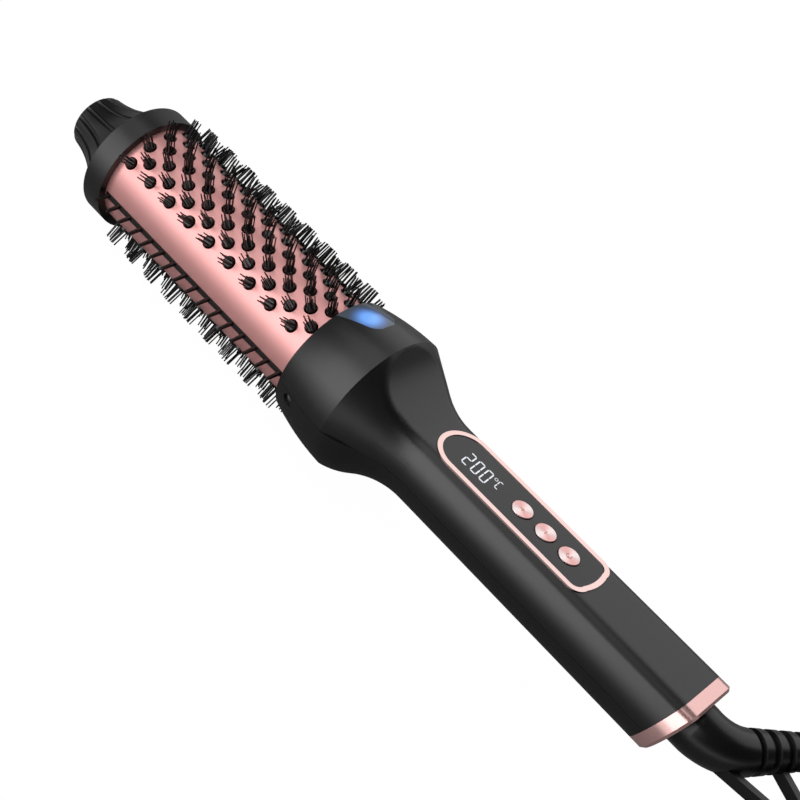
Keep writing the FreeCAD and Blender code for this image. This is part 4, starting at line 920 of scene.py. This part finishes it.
def tie_loop(inset, steps=8):
    """Rounded rectangle round the bundle, as places out from the coil's middle and up."""
    right = tie_far - TIE_CORNER
    left = tie_near + TIE_CORNER
    top = tie_high - TIE_CORNER
    bottom = tie_low + TIE_CORNER
    radius = TIE_CORNER - inset
    places = []
    for out, up, start in ((right, top, 0), (left, top, 90), (left, bottom, 180), (right, bottom, 270)):
        for i in range(steps + 1):
            angle = math.radians(start + 90 * i / steps)
            places.append((out + radius * math.cos(angle), up + radius * math.sin(angle)))
    return places


def tape(work, inner, outer, loop):
    """A strip of tape between an inner and an outer line."""
    rings = []
    for near, far in zip(inner, outer):
        corners = ((near, -TIE_HALF), (near, TIE_HALF), (far, TIE_HALF), (far, -TIE_HALF))
        rings.append([tie_middle + tie_out * out + tie_along * side + Vector((0, 0, up))
                      for (out, up), side in corners])
    loft(work, rings, loop)


tie_work = bmesh.new()
tape(tie_work, tie_loop(TIE_THICK), tie_loop(0.0), True)
lap = [(tie_near + LAP_START + LAP_STEP * i, tie_high + LAP_GAP + LAP_LIFT * i * i)
       for i in range(LAP_POINTS)]
tape(tie_work, lap, [(out, up + TIE_THICK) for out, up in lap], False)
tie_mesh = close_mesh(tie_work, bpy.data.meshes.new("coil_tie_tape"), TIE_CREASE)
coat(tie_mesh, tie_fabric)
tie_piece = link("coil_tie_tape", tie_mesh, "lead")
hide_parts("coil_tie")
print("tie %.1f by %.1f mm" % ((tie_far - tie_near) / MM, (tie_high - tie_low) / MM))

# %% [markdown]
# The photograph is a cut-out on white. A paper floor carries the brush. Strong lamps would turn it white,
# but would wash out the brush as well. Light Path lets the camera see the paper as nearly white, while it
# still takes a soft shadow. Reflections see it white only some way out on the camera's side, as from a
# studio card. Close to the brush it stays dark, which keeps the black edges of the shells black.

# %% Floor
FLOOR_REACH = 6.0
PAPER_WHITE = 1.12
SEEN_SHARE = 0.88
CARD_NEAR = 0.07
CARD_FAR = 0.17
CARD_DARK = 0.04
CARD_BRIGHT = 0.9
floor_mesh = bpy.data.meshes.new("floor")
floor_corners = [(x * FLOOR_REACH, y * FLOOR_REACH, 0) for x, y in ((-1, -1), (1, -1), (1, 1), (-1, 1))]
floor_mesh.from_pydata(floor_corners, [], [(0, 1, 2, 3)])
floor = bpy.data.objects.new("floor", floor_mesh)
scene.collection.objects.link(floor)
floor_paper, tree, paper, place = new_material("white_paper_floor")
fill(tree, paper, {"Base Color": colour("#8a8a8a"), "Roughness": 0.9})
white = add(tree, "ShaderNodeEmission", {"Color": colour("#ffffff"), "Strength": PAPER_WHITE})
rays = add(tree, "ShaderNodeLightPath").outputs
mirrored = add(tree, "ShaderNodeMath.MAXIMUM", [rays["Is Glossy Ray"], rays["Is Transmission Ray"]])
across = add(tree, "ShaderNodeSeparateXYZ", [place]).outputs["Y"]
card = add(tree, "ShaderNodeMapRange", {
    "Value": across, "From Min": CARD_NEAR, "From Max": CARD_FAR,
    "To Min": CARD_DARK, "To Max": CARD_BRIGHT},
    interpolation_type="SMOOTHSTEP")
seen = add(tree, "ShaderNodeMath.MULTIPLY", [rays["Is Camera Ray"], SEEN_SHARE])
whiteness = add(tree, "ShaderNodeMath.MULTIPLY_ADD", [mirrored, card, seen])
mixed = add(tree, "ShaderNodeMixShader", [whiteness, paper, white])
fill(tree, tree.nodes["Material Output"], {"Surface": mixed})
floor_mesh.materials.append(floor_paper)
print("floor %g m wide" % (2 * FLOOR_REACH))

# %% [markdown]
# Behind the floor the sky has to be white too, or a low view would show a dark band. A white sky that
# lights the brush would flatten it. So it is white to the camera, gives the brush only a little fill, and
# reflections see a pale haze just over the horizon, as the far wall of a studio would give.

# %% Sky
SKY_FILL = 0.04
SKY_SEEN = 0.96
HAZE_LEVEL = 0.5
HAZE_TOP = 0.2
world = bpy.data.worlds.new("studio")
world.use_nodes = True
scene.world = world
sky = world.node_tree
rays = add(sky, "ShaderNodeLightPath").outputs
mirrored = add(sky, "ShaderNodeMath.MAXIMUM", [rays["Is Glossy Ray"], rays["Is Transmission Ray"]])
direction = add(sky, "ShaderNodeTexCoord").outputs["Generated"]
rise = add(sky, "ShaderNodeSeparateXYZ", [direction]).outputs["Z"]
haze = add(sky, "ShaderNodeMapRange", {
    "Value": rise, "From Min": 0.0, "From Max": HAZE_TOP, "To Min": HAZE_LEVEL, "To Max": 0.0})
seen = add(sky, "ShaderNodeMath.MULTIPLY_ADD", [rays["Is Camera Ray"], SKY_SEEN, SKY_FILL])
strength = add(sky, "ShaderNodeMath.MULTIPLY_ADD", [mirrored, haze, seen])
fill(sky, sky.nodes["Background"], {"Color": colour("#ffffff"), "Strength": strength})
print("sky set")

# %% [markdown]
# Three softboxes light the brush. The one on the camera's side draws the long highlight along the handle
# and the barrel, the one above lifts the top of the barrel and the head, and the one behind shows in the
# flat panel. Small lamps would give hard glints. Boxes wider than the brush is long give the broad, even
# bands of the photograph.

# %% Softboxes
SOFTBOX_AWAY = 1.1
# Name, degrees round from +X, degrees up from the floor, width and height in metres, and watts.
SOFTBOXES = [
    ("side_softbox", 70, 25, 1.15, 1.0, 8.6),
    ("top_softbox", 25, 68, 0.8, 0.8, 2.2),
    ("back_softbox", -92, 42, 1.7, 1.1, 6.0),
]
for name, round_turn, up_turn, width, height, watts in SOFTBOXES:
    data = bpy.data.lights.new(name, "AREA")
    data.shape = "RECTANGLE"
    data.size = width
    data.size_y = height
    data.energy = watts
    softbox = bpy.data.objects.new(name, data)
    scene.collection.objects.link(softbox)
    flat = math.cos(math.radians(up_turn))
    way = Vector((flat * math.cos(math.radians(round_turn)), flat * math.sin(math.radians(round_turn)),
                  math.sin(math.radians(up_turn))))
    softbox.location = at(0, 0, 0) + way * SOFTBOX_AWAY
    softbox.rotation_euler = (-way).to_track_quat("-Z", "Y").to_euler()
scene.view_settings.view_transform = "Standard"
print("softboxes:", len(SOFTBOXES))
